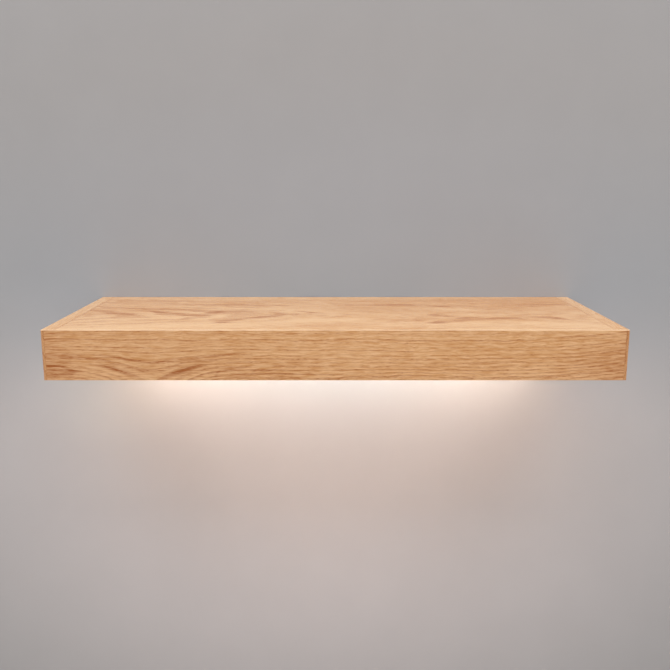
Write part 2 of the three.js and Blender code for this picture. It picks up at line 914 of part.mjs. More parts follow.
// A clip that stands on the bottom board and holds the lead.
function leadClip( name, x ) {

	const bore = LEAD_DIAMETER + 2 * LEAD_PLAY;
	const height = LEAD_RUN_HEIGHT + bore / 2 + CLIP_WALL;
	const half = CLIP_LENGTH / 2;
	const stand = block( [ - CLIP_WIDTH / 2, CLIP_WIDTH / 2 ], [ - half, half ], [ 0, height ] );
	const hole = drill( bore, - half - OVERRUN, half + OVERRUN, SMALL_FLATS ).translate( 0, 0, LEAD_RUN_HEIGHT );
	return placed( piece( name, cut( stand, hole ), blackPlastic ), x, LIGHT_Y - CLIP_FROM_LIGHT, FLOOR );

}

function inlet() {

	const body = INLET_BODY / 2;
	const flange = INLET_FLANGE / 2;
	const bore = INLET_BORE / 2;
	const pin = INLET_PIN / 2;
	const boreEnd = INLET_FLANGE_THICK - INLET_BORE_DEPTH;
	const shell = turned( [
		[ 0, - INLET_BODY_LENGTH ],
		[ body, - INLET_BODY_LENGTH ],
		[ body, 0 ],
		[ flange, 0 ],
		[ flange, INLET_FLANGE_THICK ],
		[ bore, INLET_FLANGE_THICK ],
		[ bore, boreEnd ],
		[ pin, boreEnd ],
		[ pin, INLET_FLANGE_THICK - INLET_PIN_SINK ],
		[ 0, INLET_FLANGE_THICK - INLET_PIN_SINK ],
	], SMALL_FLATS );
	const tags = [ - INLET_TAG_OFFSET, INLET_TAG_OFFSET ].map( ( z ) => block(
		[ - INLET_TAG_WIDTH / 2, INLET_TAG_WIDTH / 2 ],
		[ - INLET_BODY_LENGTH - INLET_TAG_LENGTH, INLET_TAG_THICK - INLET_BODY_LENGTH ],
		[ z - INLET_TAG_THICK / 2, z + INLET_TAG_THICK / 2 ]
	) );
	return placed( piece( 'power_inlet', join( shell, ...tags ), blackPlastic ), INLET_X, RAIL_BACK, LEAD_RUN_Z );

}

function inletNut() {

	const corner = INLET_NUT / 2;
	const hexagon = new THREE.CylinderGeometry( corner, corner, INLET_NUT_THICK, 6 );
	const hole = drill( INLET_BODY + 2 * INLET_PLAY, - INLET_NUT_THICK, INLET_NUT_THICK, SMALL_FLATS );
	const nut = piece( 'inlet_nut', cut( hexagon, hole ), zincSteel );
	return placed( nut, INLET_X, INLET_WEB_FRONT - INLET_NUT_THICK / 2, LEAD_RUN_Z );

}

function supply() {

	const group = new THREE.Group();
	group.add( lead(), inlet(), inletNut() );
	group.add( leadClip( 'lead_clip_inner', LEAD_HOLE_X ), leadClip( 'lead_clip_outer', INLET_X ) );
	return group;

}

const shelf = new THREE.Group();
shelf.add( boards(), core(), locks(), light(), supply() );

const wallShelf = new THREE.Group();
wallShelf.add( bracket(), shelf );

export default wallShelf;
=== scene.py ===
"""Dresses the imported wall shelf: its oak boards, its steel bracket and the line light in its underside.

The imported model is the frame. Each piece takes its place and size from the node that it stands for.
Metres, +Z up, the front faces -Y, and the wall is the plane Y = 0.
"""

import math
from functools import partial

import bmesh
import bpy
from bpy.props import FloatProperty, FloatVectorProperty, IntProperty, PointerProperty
from bpy.types import Operator, Panel, PropertyGroup
from mathutils import Euler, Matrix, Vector


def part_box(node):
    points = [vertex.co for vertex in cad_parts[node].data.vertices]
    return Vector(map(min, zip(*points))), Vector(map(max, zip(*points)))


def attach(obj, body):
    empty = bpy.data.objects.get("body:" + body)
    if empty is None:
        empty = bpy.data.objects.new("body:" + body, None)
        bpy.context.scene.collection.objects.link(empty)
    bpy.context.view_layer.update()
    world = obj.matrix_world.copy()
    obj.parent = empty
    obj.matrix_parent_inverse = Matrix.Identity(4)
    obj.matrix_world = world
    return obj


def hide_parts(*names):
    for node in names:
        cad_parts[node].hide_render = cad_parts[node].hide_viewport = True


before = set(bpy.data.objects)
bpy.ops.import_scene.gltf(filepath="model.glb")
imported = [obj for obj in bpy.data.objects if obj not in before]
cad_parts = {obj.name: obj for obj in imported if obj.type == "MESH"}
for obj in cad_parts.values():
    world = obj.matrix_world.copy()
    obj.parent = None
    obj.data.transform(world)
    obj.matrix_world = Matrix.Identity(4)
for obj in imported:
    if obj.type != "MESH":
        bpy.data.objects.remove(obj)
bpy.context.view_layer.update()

bl_info = {
    "name": "Floating oak wall shelf",
    "version": (1, 0, 0),
    "blender": (4, 5, 0),
    "location": "3D View > Sidebar > Shelf",
    "description": "Dresses a packed wall shelf with oak boards, a steel bracket and a line light",
    "category": "Object",
}

MM = 0.001
# A pattern that is stretched this far, in millimetres, is the same all along that way
ENDLESS = 1e5
# Places that are closer than this are the same place
NEAR = 0.01 * MM
# A cutter runs this far past what it cuts
RUN_PAST = 1 * MM

# The shelf's outside and the boards' inner planes, from the frame
SHELF_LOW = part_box("end_board_left")[0]
SHELF_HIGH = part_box("end_board_right")[1]
END_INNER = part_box("end_board_right")[0].x
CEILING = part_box("top_board")[0].z
FRONT_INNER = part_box("front_board")[1].y
BOARD = SHELF_HIGH.z - CEILING
GLUE_LINE = END_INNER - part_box("top_board")[1].x
LIP_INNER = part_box("front_board")[1].x + GLUE_LINE
SIDES = (("left", -1), ("right", 1))
# Turns what is made upright so that it points from the wall to the room
OUT_OF_WALL = (math.pi / 2, 0, 0)


def colour(code):
    """The linear colour of an sRGB hex code, with alpha."""
    parts = [int(code[i : i + 2], 16) / 255 for i in (0, 2, 4)]
    linear = [c / 12.92 if c <= 0.04045 else ((c + 0.055) / 1.055) ** 2.4 for c in parts]
    return (*linear, 1.0)


# What a user would change


class ShelfSizes(PropertyGroup):
    """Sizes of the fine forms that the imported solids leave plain"""

    arris: FloatProperty(
        name="Arris", description="Radius of the boards' eased outer edges", default=0.35 * MM, unit="LENGTH"
    )
    arris_wander: FloatProperty(
        name="Arris wander", description="How far the hand-eased front edge strays inwards",
        default=0.35 * MM, unit="LENGTH",
    )
    rounding: IntProperty(name="Rounding", description="Flats in each eased edge", default=5, min=1, max=12)
    flats: IntProperty(
        name="Flats", description="Flats in a turned or drilled round", default=48, min=12, max=96
    )
    flange: FloatProperty(
        name="Flange", description="Thickness of the light channel's flange", default=1 * MM, unit="LENGTH"
    )
    channel_width: FloatProperty(
        name="Channel", description="Outside width of the light channel above its flange",
        default=17.6 * MM, unit="LENGTH",
    )
    channel_wall: FloatProperty(
        name="Channel wall", description="Thickness of the light channel's walls",
        default=1.2 * MM, unit="LENGTH",
    )
    play: FloatProperty(
        name="Play", description="Room round the parts let into the boards", default=0.2 * MM, unit="LENGTH"
    )
    plate_corner: FloatProperty(
        name="Plate corner", description="Radius of the wall plate's corners", default=4 * MM, unit="LENGTH"
    )
    wall_hole: FloatProperty(
        name="Wall hole", description="Diameter of the wall plate's holes", default=5.5 * MM, unit="LENGTH"
    )
    wall_hole_head: FloatProperty(
        name="Wall hole head", description="Diameter of their countersinks", default=11 * MM, unit="LENGTH"
    )
    rod_chamfer: FloatProperty(
        name="Rod chamfer", description="Chamfer at the tip of each rod", default=1.5 * MM, unit="LENGTH"
    )


class ShelfFinish(PropertyGroup):
    """Colours of the finishes"""

    oak_pale: FloatVectorProperty(
        name="Oak, pale", description="Dense late wood between the pore lines",
        default=colour("E8B888"), size=4, subtype="COLOR", min=0, max=1,
    )
    oak_body: FloatVectorProperty(
        name="Oak, body", description="The board's own tone",
        default=colour("CF955C"), size=4, subtype="COLOR", min=0, max=1,
    )
    oak_dark: FloatVectorProperty(
        name="Oak, dark", description="Open pores and the first wood of each year",
        default=colour("9C500C"), size=4, subtype="COLOR", min=0, max=1,
    )
    # These two are a paler copy of the oak's colours: painted light, for the stronger light and sheen on the
    # top. The end boards take them too.
    top_pale_painted_lighter: FloatVectorProperty(
        name="Top oak, pale", description="The same wood on the paler top board",
        default=colour("F2C592"), size=4, subtype="COLOR", min=0, max=1,
    )
    top_body_painted_lighter: FloatVectorProperty(
        name="Top oak, body", description="The top board's own tone",
        default=colour("D99F63"), size=4, subtype="COLOR", min=0, max=1,
    )
    # A painted highlight: the pale cream painted along the front arris
    oak_painted_highlight: FloatVectorProperty(
        name="Oak, sanded", description="The closed, paler wood of the sanded front arris",
        default=colour("FFDDB6"), size=4, subtype="COLOR", min=0, max=1,
    )
    light: FloatVectorProperty(
        name="Light", description="Warm white of the line light",
        default=colour("FFE3C8"), size=4, subtype="COLOR", min=0, max=1,
    )
    light_strength: FloatProperty(
        name="Light strength", description="Brightness of the opal cover", default=44.0, min=0
    )


class ShelfStage(PropertyGroup):
    """The room, the lamp and the camera"""

    wall: FloatVectorProperty(
        name="Wall", description="Wall paint",
        default=colour("A19E9E"), size=4, subtype="COLOR", min=0, max=1,
    )
    floor: FloatVectorProperty(
        name="Floor", description="Floor colour",
        default=colour("D8D6D2"), size=4, subtype="COLOR", min=0, max=1,
    )
    room: FloatProperty(
        name="Room light", description="Strength of the even light all round", default=0.6, min=0
    )
    lamp: FloatProperty(
        name="Lamp", description="Power of the large soft lamp", default=99.0, min=0, unit="POWER"
    )
    camera_out: FloatProperty(
        name="Camera distance", description="From the wall to the camera", default=1004 * MM, unit="LENGTH"
    )
    camera_up: FloatProperty(
        name="Camera height", description="From the shelf's middle up to the camera",
        default=181.3 * MM, unit="LENGTH",
    )
    camera_side: FloatProperty(
        name="Camera side", description="From the shelf's middle to the camera, to the right",
        default=-0.2 * MM, unit="LENGTH",
    )
    camera_tilt: FloatProperty(
        name="Camera tilt", description="How far the camera looks down",
        default=math.radians(11.54), subtype="ANGLE",
    )
    camera_lens: FloatProperty(
        name="Lens", description="Focal length on a 36 mm wide picture", default=42.2, unit="CAMERA"
    )


# Modelling by hand, in code


def deselect():
    """Leaves edit mode and selects nothing."""
    if bpy.context.object and bpy.context.object.mode != "OBJECT":
        bpy.ops.object.mode_set(mode="OBJECT")
    bpy.ops.object.select_all(action="DESELECT")


def activate(piece):
    """Selects one piece alone and makes it the active one."""
    deselect()
    piece.select_set(True)
    bpy.context.view_layer.objects.active = piece


def edit(piece):
    """Opens one piece in edit mode with nothing of it selected."""
    activate(piece)
    bpy.ops.object.mode_set(mode="EDIT")
    bpy.ops.mesh.select_all(action="DESELECT")


def pick(kind, test):
    """In edit mode, selects the VERT, EDGE or FACE parts for which the test is true."""
    bpy.ops.mesh.select_mode(type=kind)
    bpy.ops.mesh.select_all(action="DESELECT")
    mesh = bmesh.from_edit_mesh(bpy.context.object.data)
    parts = {"VERT": mesh.verts, "EDGE": mesh.edges, "FACE": mesh.faces}[kind]
    chosen = [part for part in parts if test(part)]
    for part in chosen:
        part.select_set(True)
    mesh.select_flush_mode()
    bmesh.update_edit_mesh(bpy.context.object.data)
    return len(chosen)


def middle(edge):
    """The point halfway along an edge."""
    return (edge.verts[0].co + edge.verts[1].co) / 2


def centre_of(node):
    """The middle of a node's box."""
    return sum(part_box(node), Vector()) / 2


def both(prefix):
    """The names of a left and a right node."""
    return [prefix + side for side, _ in SIDES]


def runs(edge, axis):
    """True where an edge runs along axis 0, 1 or 2."""
    way = edge.verts[1].co - edge.verts[0].co
    return abs(way[axis]) > 0.999 * way.length


def settle(piece):
    """Puts the piece's place and turn into its mesh, and leaves its object at the origin."""
    activate(piece)
    bpy.ops.object.transform_apply(location=True, rotation=True, scale=True)
    return piece


def block(name, low, high):
    """A block between two corners."""
    deselect()
    low = Vector(low)
    high = Vector(high)
    bpy.ops.mesh.primitive_cube_add(size=1, location=(low + high) / 2)
    piece = bpy.context.object
    piece.name = name
    piece.scale = high - low
    return settle(piece)


def turned(name, profile, flats):
    """A round piece about Z: a disc at the first (radius, height), drawn out and sized to each next one."""
    deselect()
    radius, height = profile[0]
    bpy.ops.mesh.primitive_circle_add(
        vertices=flats, radius=radius, fill_type="NGON", location=(0, 0, height)
    )
    piece = settle(bpy.context.object)
    piece.name = name
    edit(piece)
    bpy.ops.mesh.select_all(action="SELECT")
    for next_radius, next_height in profile[1:]:
        bpy.ops.mesh.extrude_region_move(TRANSFORM_OT_translate={"value": (0, 0, next_height - height)})
        if abs(next_radius - radius) > NEAR:
            share = next_radius / radius
            bpy.ops.transform.resize(value=(share, share, 1), center_override=(0, 0, next_height))
        radius = next_radius
        height = next_height
    bpy.ops.mesh.select_all(action="SELECT")
    bpy.ops.mesh.normals_make_consistent(inside=False)
    deselect()
    return piece


def laid(piece, place, turn=(0, 0, 0)):
    """Turns and moves a piece, and puts that into its mesh."""
    piece.rotation_euler = Euler(turn)
    piece.location = place
    return settle(piece)


def apply(piece, kind, **settings):
    """Adds a modifier with its settings and applies it."""
    modifier = piece.modifiers.new(kind.title(), kind)
    for key, value in settings.items():
        setattr(modifier, key, value)
    activate(piece)
    bpy.ops.object.modifier_apply(modifier=modifier.name)


def cut(piece, *tools, operation="DIFFERENCE"):
    """Cuts tools from a piece, or keeps what they share with it, and removes the tools."""
    for tool in tools:
        apply(piece, "BOOLEAN", object=tool, operation=operation, solver="EXACT")
        mesh = tool.data
        bpy.data.objects.remove(tool)
        bpy.data.meshes.remove(mesh)
    return piece


def twin(piece, name, shift):
    """A copy of a piece with its own mesh, moved by shift."""
    activate(piece)
    bpy.ops.object.duplicate(linked=False)
    copy = bpy.context.object
    copy.name = name
    copy.location = shift
    return settle(copy)


def ease(piece, width, segments, test):
    """Rounds the edges of a piece that pass the test."""
    edit(piece)
    pick("EDGE", test)
    bpy.ops.mesh.bevel(offset=width, segments=segments, profile=0.5, affect="EDGES", clamp_overlap=True)
    deselect()
    return piece


def hand_over(piece, material, body, slot, *nodes, angle=30):
    """Shades a finished piece, gives it its material and ties it to the frame."""
    activate(piece)
    bpy.ops.object.shade_smooth_by_angle(angle=math.radians(angle))
    apply(piece, "WEIGHTED_NORMAL", keep_sharp=True)
    piece.data.materials.clear()
    piece.data.materials.append(material)
    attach(piece, body)
    if nodes:
        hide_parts(*nodes)


def hand_over_each(piece, prefix, nodes, material, body, slot):
    """Hands over a piece, made in the place of the first node, and a copy for each other node."""
    first = centre_of(nodes[0])
    others = [twin(piece, prefix + node, centre_of(node) - first) for node in nodes[1:]]
    for one, node in zip((piece, *others), nodes):
        hand_over(one, material, body, slot, node)


def dress(material, *nodes):
    """Gives CAD nodes whose shape is right their material."""
    for name in nodes:
        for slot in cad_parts[name].material_slots:
            slot.material = material


# Materials. One function adds a node with its settings and links.


def new_material(name):
    """An empty material's tree, its Principled shader and its Object coordinates in millimetres."""
    material = bpy.data.materials.new(name)
    material.use_nodes = True
    tree = material.node_tree
    tree.nodes.clear()
    shader = add(tree, "BsdfPrincipled")
    add(tree, "OutputMaterial", {"Surface": shader.outputs["BSDF"]})
    place = add(tree, "TexCoord").outputs["Object"]
    place = add(tree, "Mapping", {"Vector": place, "Scale": (1 / MM, 1 / MM, 1 / MM)}).outputs[0]
    return material, tree, shader, place


def add(tree, kind, inputs=None, stops=(), **settings):
    """Adds a node. Inputs are links or plain values by name or number, and stops fill a colour ramp."""
    node = tree.nodes.new("ShaderNode" + kind)
    for key, value in settings.items():
        setattr(node, key, value)
    for key, value in (inputs or {}).items():
        if isinstance(value, bpy.types.NodeSocket):
            tree.links.new(value, node.inputs[key])
        else:
            node.inputs[key].default_value = value
    for i, (place, value) in enumerate(stops):
        stop = node.color_ramp.elements[i] if i < 2 else node.color_ramp.elements.new(place)
        stop.position = place
        stop.color = (value, value, value, 1)
    return node


# Oak. Each annual ring starts with a zone of open pores, which shows as a thin brown line of short dashes,
# and goes on in dense, paler wood. Sizes are in millimetres. The grain runs along the pattern's X.

RING = 4.1
# Real pores are 0.3 mm wide. They are drawn a little over twice as wide, so that they show at arm's length.
PORE = (5, 0.7, 0.7)
FIBRE = (16, 0.9, 0.9)
DASH = (16, 1.5, 1.5)
# Waves that bend the grain, quick ones and slow ones: their length, their width and how far they bend it
BENDS = ((26, 8, 1.7), (95, 22, 8.0))
SLOW_TONE_LENGTH = 170
PORE_STRENGTH = 0.36
# A streak has faded out at this many times its half length and half width
STREAK_SPREAD = 1.6
# Where glue darkens a joint: from its start to its full strength, before the board's end
GLUE_ZONE = (1.2, 0.3)
GLUE_STRENGTH = 0.6
# Where the cut across the fibres shows dark: from its start to its full strength, behind the front
END_GRAIN_ZONE = (0.5, 0.1)
END_GRAIN_STRENGTH = 0.46
# Where the painted highlight lies along the front arris: from the start to the full strength, behind the
# front and below the top
PAINTED_HIGHLIGHT_BEHIND = (1.1, 0.4)
PAINTED_HIGHLIGHT_BELOW = (1.0, 0.3)


def front_rings(tree, point):
    """Ring count of the front board: level lines that sag near its left end and rise at its right one."""
    sag_middle = -190
    sag_half_width = 85
    sag_strength = 0.0094
    sag_depth = 6.7
    rise_start = 180.0
    rise_end = 300.0
    rise = 9.0
    lean = 0.35
    part = add(tree, "SeparateXYZ", {0: point})
    down = add(tree, "Math", {0: SHELF_HIGH.z / MM, 1: part.outputs["Z"]}, operation="SUBTRACT").outputs[0]
    spread = (sag_half_width, ENDLESS, ENDLESS)
    sag = add(tree, "Mapping", {"Vector": point, "Location": (sag_middle, 0, 0), "Scale": spread},
              vector_type="TEXTURE")
    sag = add(tree, "TexGradient", {0: sag.outputs[0]}, gradient_type="SPHERICAL")
    sag = add(tree, "MapRange", {0: sag.outputs[1], 4: sag_strength}, interpolation_type="SMOOTHSTEP")
    below = add(tree, "Math", {0: down, 1: sag_depth}, operation="SUBTRACT")
    below = add(tree, "Math", {0: below.outputs[0], 1: 0.0}, operation="MAXIMUM")
    below = add(tree, "Math", {0: below.outputs[0], 1: 2.0}, operation="POWER")
    drop = add(tree, "Math", {0: below.outputs[0], 1: sag.outputs[0]}, operation="MULTIPLY")
    rings = add(tree, "Math", {0: down, 1: drop.outputs[0]}, operation="SUBTRACT")
    right = add(tree, "MapRange", {0: part.outputs["X"], 1: rise_start, 2: rise_end, 3: 0.0, 4: 1.0})
    right = add(tree, "Math", {0: right.outputs[0], 1: 2.0}, operation="POWER")
    rings = add(tree, "Math", {0: right.outputs[0], 1: rise, 2: rings.outputs[0]}, operation="MULTIPLY_ADD")
    depth = add(tree, "Math", {0: part.outputs["Y"], 1: lean, 2: rings.outputs[0]}, operation="MULTIPLY_ADD")
    return add(tree, "Math", {0: depth.outputs[0], 1: 1 / RING}, operation="MULTIPLY").outputs[0]


def heart_rings(tree, point, heart_y, heart_z, lean, turning):
    """Ring count of a plain-sawn board: circles about a heart line below it that leans one way, then back.

    Where the heart line leans, the rings run out of the face in arches.
    """
    soften = 3.0
    off = add(tree, "VectorMath", {0: point, 1: (0, -heart_y, -heart_z)}, operation="ADD")
    off = add(tree, "VectorMath", {0: off.outputs[0], 1: (0, 1, 1)}, operation="MULTIPLY")
    off = add(tree, "VectorMath", {0: off.outputs[0]}, operation="LENGTH")
    along = add(tree, "SeparateXYZ", {0: point}).outputs["X"]
    there = add(tree, "Math", {0: along, 1: lean}, operation="MULTIPLY")
    back = add(tree, "Math", {0: along, 1: -lean, 2: 2 * lean * turning}, operation="MULTIPLY_ADD")
    rise = add(tree, "Math", {0: there.outputs[0], 1: back.outputs[0], 2: soften}, operation="SMOOTH_MIN")
    rings = add(tree, "Math", {0: off.outputs["Value"], 1: rise.outputs[0]}, operation="ADD")
    return add(tree, "Math", {0: rings.outputs[0], 1: 1 / RING}, operation="MULTIPLY").outputs[0]


def bent_grain(tree, grain):
    """The grain's point with the quick bends that every line follows, and with the slow ones added."""
    points = [grain]
    for length, width, reach in BENDS:
        bend = add(tree, "Mapping", {"Vector": grain, "Scale": (1 / length, 1 / width, 1 / width)})
        bend = add(tree, "TexNoise",
                   {"Vector": bend.outputs[0], "Scale": 1.0, "Detail": 2.0, "Roughness": 0.5})
        bend = add(tree, "VectorMath", {0: bend.outputs["Color"], 1: (-0.5, -0.5, -0.5)}, operation="ADD")
        bend = add(tree, "VectorMath", {0: bend.outputs[0], 1: (0, reach, reach)}, operation="MULTIPLY")
        bend = add(tree, "VectorMath", {0: points[-1], 1: bend.outputs[0]}, operation="ADD")
        points.append(bend.outputs[0])
    return points[1:]


def year_lines(tree, count, bent):
    """The dark of a year, strongest at its start, the dashes that break it up, and the lines they give."""
    year = add(tree, "Math", {0: count}, operation="FRACT")
    year = add(tree, "ValToRGB", {0: year.outputs[0]},
               stops=((0.0, 0.3), (0.1, 1.0), (0.28, 0.85), (0.46, 0.3), (0.7, 0.08), (0.93, 0.0))).outputs[0]
    which = add(tree, "Math", {0: count}, operation="FLOOR")
    which = add(tree, "TexWhiteNoise", {"W": which.outputs[0]}, noise_dimensions="1D")
    which = add(tree, "MapRange", {0: which.outputs[0], 3: 0.6, 4: 1.15})
    line = add(tree, "Math", {0: year, 1: which.outputs[0]}, operation="MULTIPLY").outputs[0]
    dash = add(tree, "Mapping", {"Vector": bent, "Scale": [1 / size for size in DASH]})
    dash = add(tree, "TexNoise", {"Vector": dash.outputs[0], "Scale": 1.0, "Detail": 2.0, "Roughness": 0.6})
    dash = add(tree, "MapRange", {0: dash.outputs[0], 1: 0.32, 2: 0.64, 3: 0.25, 4: 1.1},
               interpolation_type="SMOOTHSTEP").outputs[0]
    line = add(tree, "Math", {0: line, 1: dash}, operation="MULTIPLY").outputs[0]
    return year, dash, line


def open_pores(tree, bent, line):
    """Short open grooves, most of them in the dark part of a year."""
    pores = add(tree, "Mapping", {"Vector": bent, "Scale": [1 / size for size in PORE]})
    pores = add(tree, "TexNoise", {"Vector": pores.outputs[0], "Scale": 1.0, "Detail": 1.0, "Roughness": 0.5})
    pores = add(tree, "MapRange", {0: pores.outputs[0], 1: 0.5, 2: 0.74}, interpolation_type="SMOOTHSTEP")
    zone = add(tree, "MapRange", {0: line, 1: 0.0, 2: 0.6, 3: 0.35, 4: 1.0})
    return add(tree, "Math", {0: pores.outputs[0], 1: zone.outputs[0]}, operation="MULTIPLY").outputs[0]


def own_streaks(tree, point, figure, face, strokes):
    """The dark streaks that only this board has, drawn in its strokes, and its paler places."""
    streaks = 0.0
    paler = 0.0
    for x, across, half_length, half_width, degrees, strength in figure:
        length = STREAK_SPREAD * half_length
        width = STREAK_SPREAD * half_width
        if face == "Z":
            at = (x, across, 0)
            spread = (length, width, ENDLESS)
            angle = (0, 0, math.radians(degrees))
        else:
            at = (x, 0, across)
            spread = (length, ENDLESS, width)
            angle = (0, -math.radians(degrees), 0)
        mark = add(tree, "Mapping", {"Vector": point, "Location": at, "Rotation": angle, "Scale": spread},
                   vector_type="TEXTURE")
        mark = add(tree, "TexGradient", {0: mark.outputs[0]}, gradient_type="SPHERICAL")
        mark = add(tree, "MapRange", {0: mark.outputs[1], 4: strength}, interpolation_type="SMOOTHSTEP")
        if strength > 0:
            streaks = add(tree, "Math", {0: mark.outputs[0], 1: strokes, 2: streaks},
                          operation="MULTIPLY_ADD").outputs[0]
        else:
            paler = add(tree, "Math", {0: mark.outputs[0], 1: paler}, operation="ADD").outputs[0]
    return streaks, paler


def oak(name, rings, figure=(), face="Z", turn=0.0, shift=(0, 0, 0), lines=0.44, tone=0.2, zone=30,
        share=0.45, joint=None, pale=None, body=None, rough=0.3, end_grain=False):
    """Oiled oak, finely smoothed with abrasive paper.

    Rings is a function of the tree and the point in millimetres. Figure holds streaks of the board, each (x,
    across, half length, half width, turn in degrees, strength). Across is Y on a level face and Z on the
    front, and a strength below zero makes the wood paler. A turn of 90 degrees lets the grain run along Y.
    Lines and tone say how strong the ring lines and the slow changes of colour are, zone how wide those
    changes are, and share how much of the wood has its body colour. Joint is the board's half length, where
    glue darkens its end, and end grain is the darker cut across the fibres at the front of an end board.
    """
    finish = bpy.context.scene.shelf_finish
    pale = pale or finish.oak_pale
    body = body or finish.oak_body
    front = SHELF_LOW.y / MM
    top = SHELF_HIGH.z / MM
    material, tree, shader, place = new_material(name)
    part = add(tree, "SeparateXYZ", {0: place})
    grain = add(tree, "Mapping", {"Vector": place, "Rotation": (0, 0, turn), "Location": shift}).outputs[0]
    quick, bent = bent_grain(tree, grain)
    count = rings(tree, bent)
    wander = add(tree, "TexNoise", {"W": count, "Scale": 0.7, "Detail": 1.0}, noise_dimensions="1D")
    count = add(tree, "Math", {0: wander.outputs[0], 1: 1.3, 2: count}, operation="MULTIPLY_ADD").outputs[0]
    year, dash, line = year_lines(tree, count, bent)
    pores = open_pores(tree, bent, line)
    fibre = add(tree, "Mapping", {"Vector": bent, "Scale": [1 / size for size in FIBRE]})
    fibre = add(tree, "TexNoise", {"Vector": fibre.outputs[0], "Scale": 1.0, "Detail": 2.0, "Roughness": 0.6})
    fibre = fibre.outputs[0]

    # The sum of what darkens the wood: lines, pores, and the board's own streaks, where the rings run out
    dark = add(tree, "Math", {0: line, 1: lines}, operation="MULTIPLY").outputs[0]
    dark = add(tree, "Math", {0: pores, 1: PORE_STRENGTH, 2: dark}, operation="MULTIPLY_ADD").outputs[0]
    strokes = add(tree, "MapRange", {0: fibre, 1: 0.3, 2: 0.7, 3: 0.55, 4: 1.3}).outputs[0]
    if face == "Z":
        # On a level face the streaks are wide, and show as a darkening of the dashes and rings there
        for pattern, gain, least in ((dash, 1.0, 0.32), (year, 1.3, 0.5)):
            more = add(tree, "Math", {0: pattern, 1: gain, 2: least}, operation="MULTIPLY_ADD").outputs[0]
            strokes = add(tree, "Math", {0: strokes, 1: more}, operation="MULTIPLY").outputs[0]
    streaks, paler = own_streaks(tree, quick, figure, face, strokes)
    if face == "Z":
        streaks = add(tree, "Math", {0: streaks, 1: 0.5, 2: 0.4}, operation="SMOOTH_MIN").outputs[0]
    dark = add(tree, "Math", {0: streaks, 1: dark}, operation="ADD").outputs[0]
    if joint:
        start, full = [joint - way for way in GLUE_ZONE]
        along = add(tree, "Math", {0: part.outputs["X"]}, operation="ABSOLUTE").outputs[0]
        glue = add(tree, "MapRange", {0: along, 1: start, 2: full, 4: GLUE_STRENGTH})
        dark = add(tree, "Math", {0: dark, 1: glue.outputs[0]}, operation="ADD").outputs[0]
    if end_grain:
        start, full = [front + way for way in END_GRAIN_ZONE]
        out = add(tree, "MapRange", {0: part.outputs["Y"], 1: start, 2: full, 4: END_GRAIN_STRENGTH},
                  interpolation_type="SMOOTHSTEP")
        dark = add(tree, "Math", {0: dark, 1: out.outputs[0]}, operation="ADD").outputs[0]

    # A painted highlight along the eased front arris: the wood there is painted paler, with its pores and
    # ring lines mostly left out
    start, full = [front + way for way in PAINTED_HIGHLIGHT_BEHIND]
    near = add(tree, "MapRange", {0: part.outputs["Y"], 1: start, 2: full})
    start, full = [top - way for way in PAINTED_HIGHLIGHT_BELOW]
    high = add(tree, "MapRange", {0: part.outputs["Z"], 1: start, 2: full})
    painted_highlight = add(tree, "Math", {0: near.outputs[0], 1: high.outputs[0]}, operation="MULTIPLY").outputs[0]
    kept = add(tree, "Math", {0: painted_highlight, 1: -0.75, 2: 1.0}, operation="MULTIPLY_ADD").outputs[0]
    dark = add(tree, "Math", {0: dark, 1: kept}, operation="MULTIPLY").outputs[0]
    paler = add(tree, "Math", {0: painted_highlight, 1: -0.7, 2: paler}, operation="MULTIPLY_ADD").outputs[0]

    # The slow tone and the fibres move the wood between its pale and its own colour
    slow = add(tree, "Mapping", {"Vector": grain, "Scale": (1 / SLOW_TONE_LENGTH, 1 / zone, 1 / zone)})
    slow = add(tree, "TexNoise", {"Vector": slow.outputs[0], "Scale": 1.0, "Detail": 3.0, "Roughness": 0.55})
    slow = add(tree, "MapRange", {0: slow.outputs[0], 1: 0.3, 2: 0.7, 3: -tone, 4: tone})
    shade = add(tree, "MapRange", {0: fibre, 1: 0.37, 2: 0.63, 3: -0.5, 4: 0.5})
    shade = add(tree, "Math", {0: shade.outputs[0], 1: slow.outputs[0]}, operation="ADD").outputs[0]
    shade = add(tree, "Math", {0: shade, 1: paler}, operation="ADD").outputs[0]
    full = add(tree, "Math", {0: shade, 1: share}, operation="ADD", use_clamp=True)
    base = add(tree, "Mix", {0: full.outputs[0], 6: pale, 7: body}, data_type="RGBA").outputs[2]
    # Painted highlight along the front arris
    base = add(tree, "Mix", {0: painted_highlight, 6: base, 7: finish.oak_painted_highlight}, data_type="RGBA").outputs[2]
    wood = add(tree, "Mix", {0: dark, 6: base, 7: finish.oak_dark}, data_type="RGBA", clamp_factor=True)

    groove = add(tree, "Math", {0: pores, 1: 0.7, 2: line}, operation="MULTIPLY_ADD")
    bump = add(tree, "Bump", {"Strength": 0.25, "Distance": 0.06 * MM, "Height": groove.outputs[0]},
               invert=True)
    gloss = add(tree, "MapRange", {0: dark, 1: 0.0, 2: 0.8, 3: rough, 4: rough + 0.15})
    tree.links.new(wood.outputs[2], shader.inputs["Base Color"])
    tree.links.new(gloss.outputs[0], shader.inputs["Roughness"])
    tree.links.new(bump.outputs[0], shader.inputs["Normal"])
    shader.inputs["IOR"].default_value = 1.5
    return material


# Metals, plastics and the wood inside. Sizes of the patterns are in millimetres along X, Y and Z.


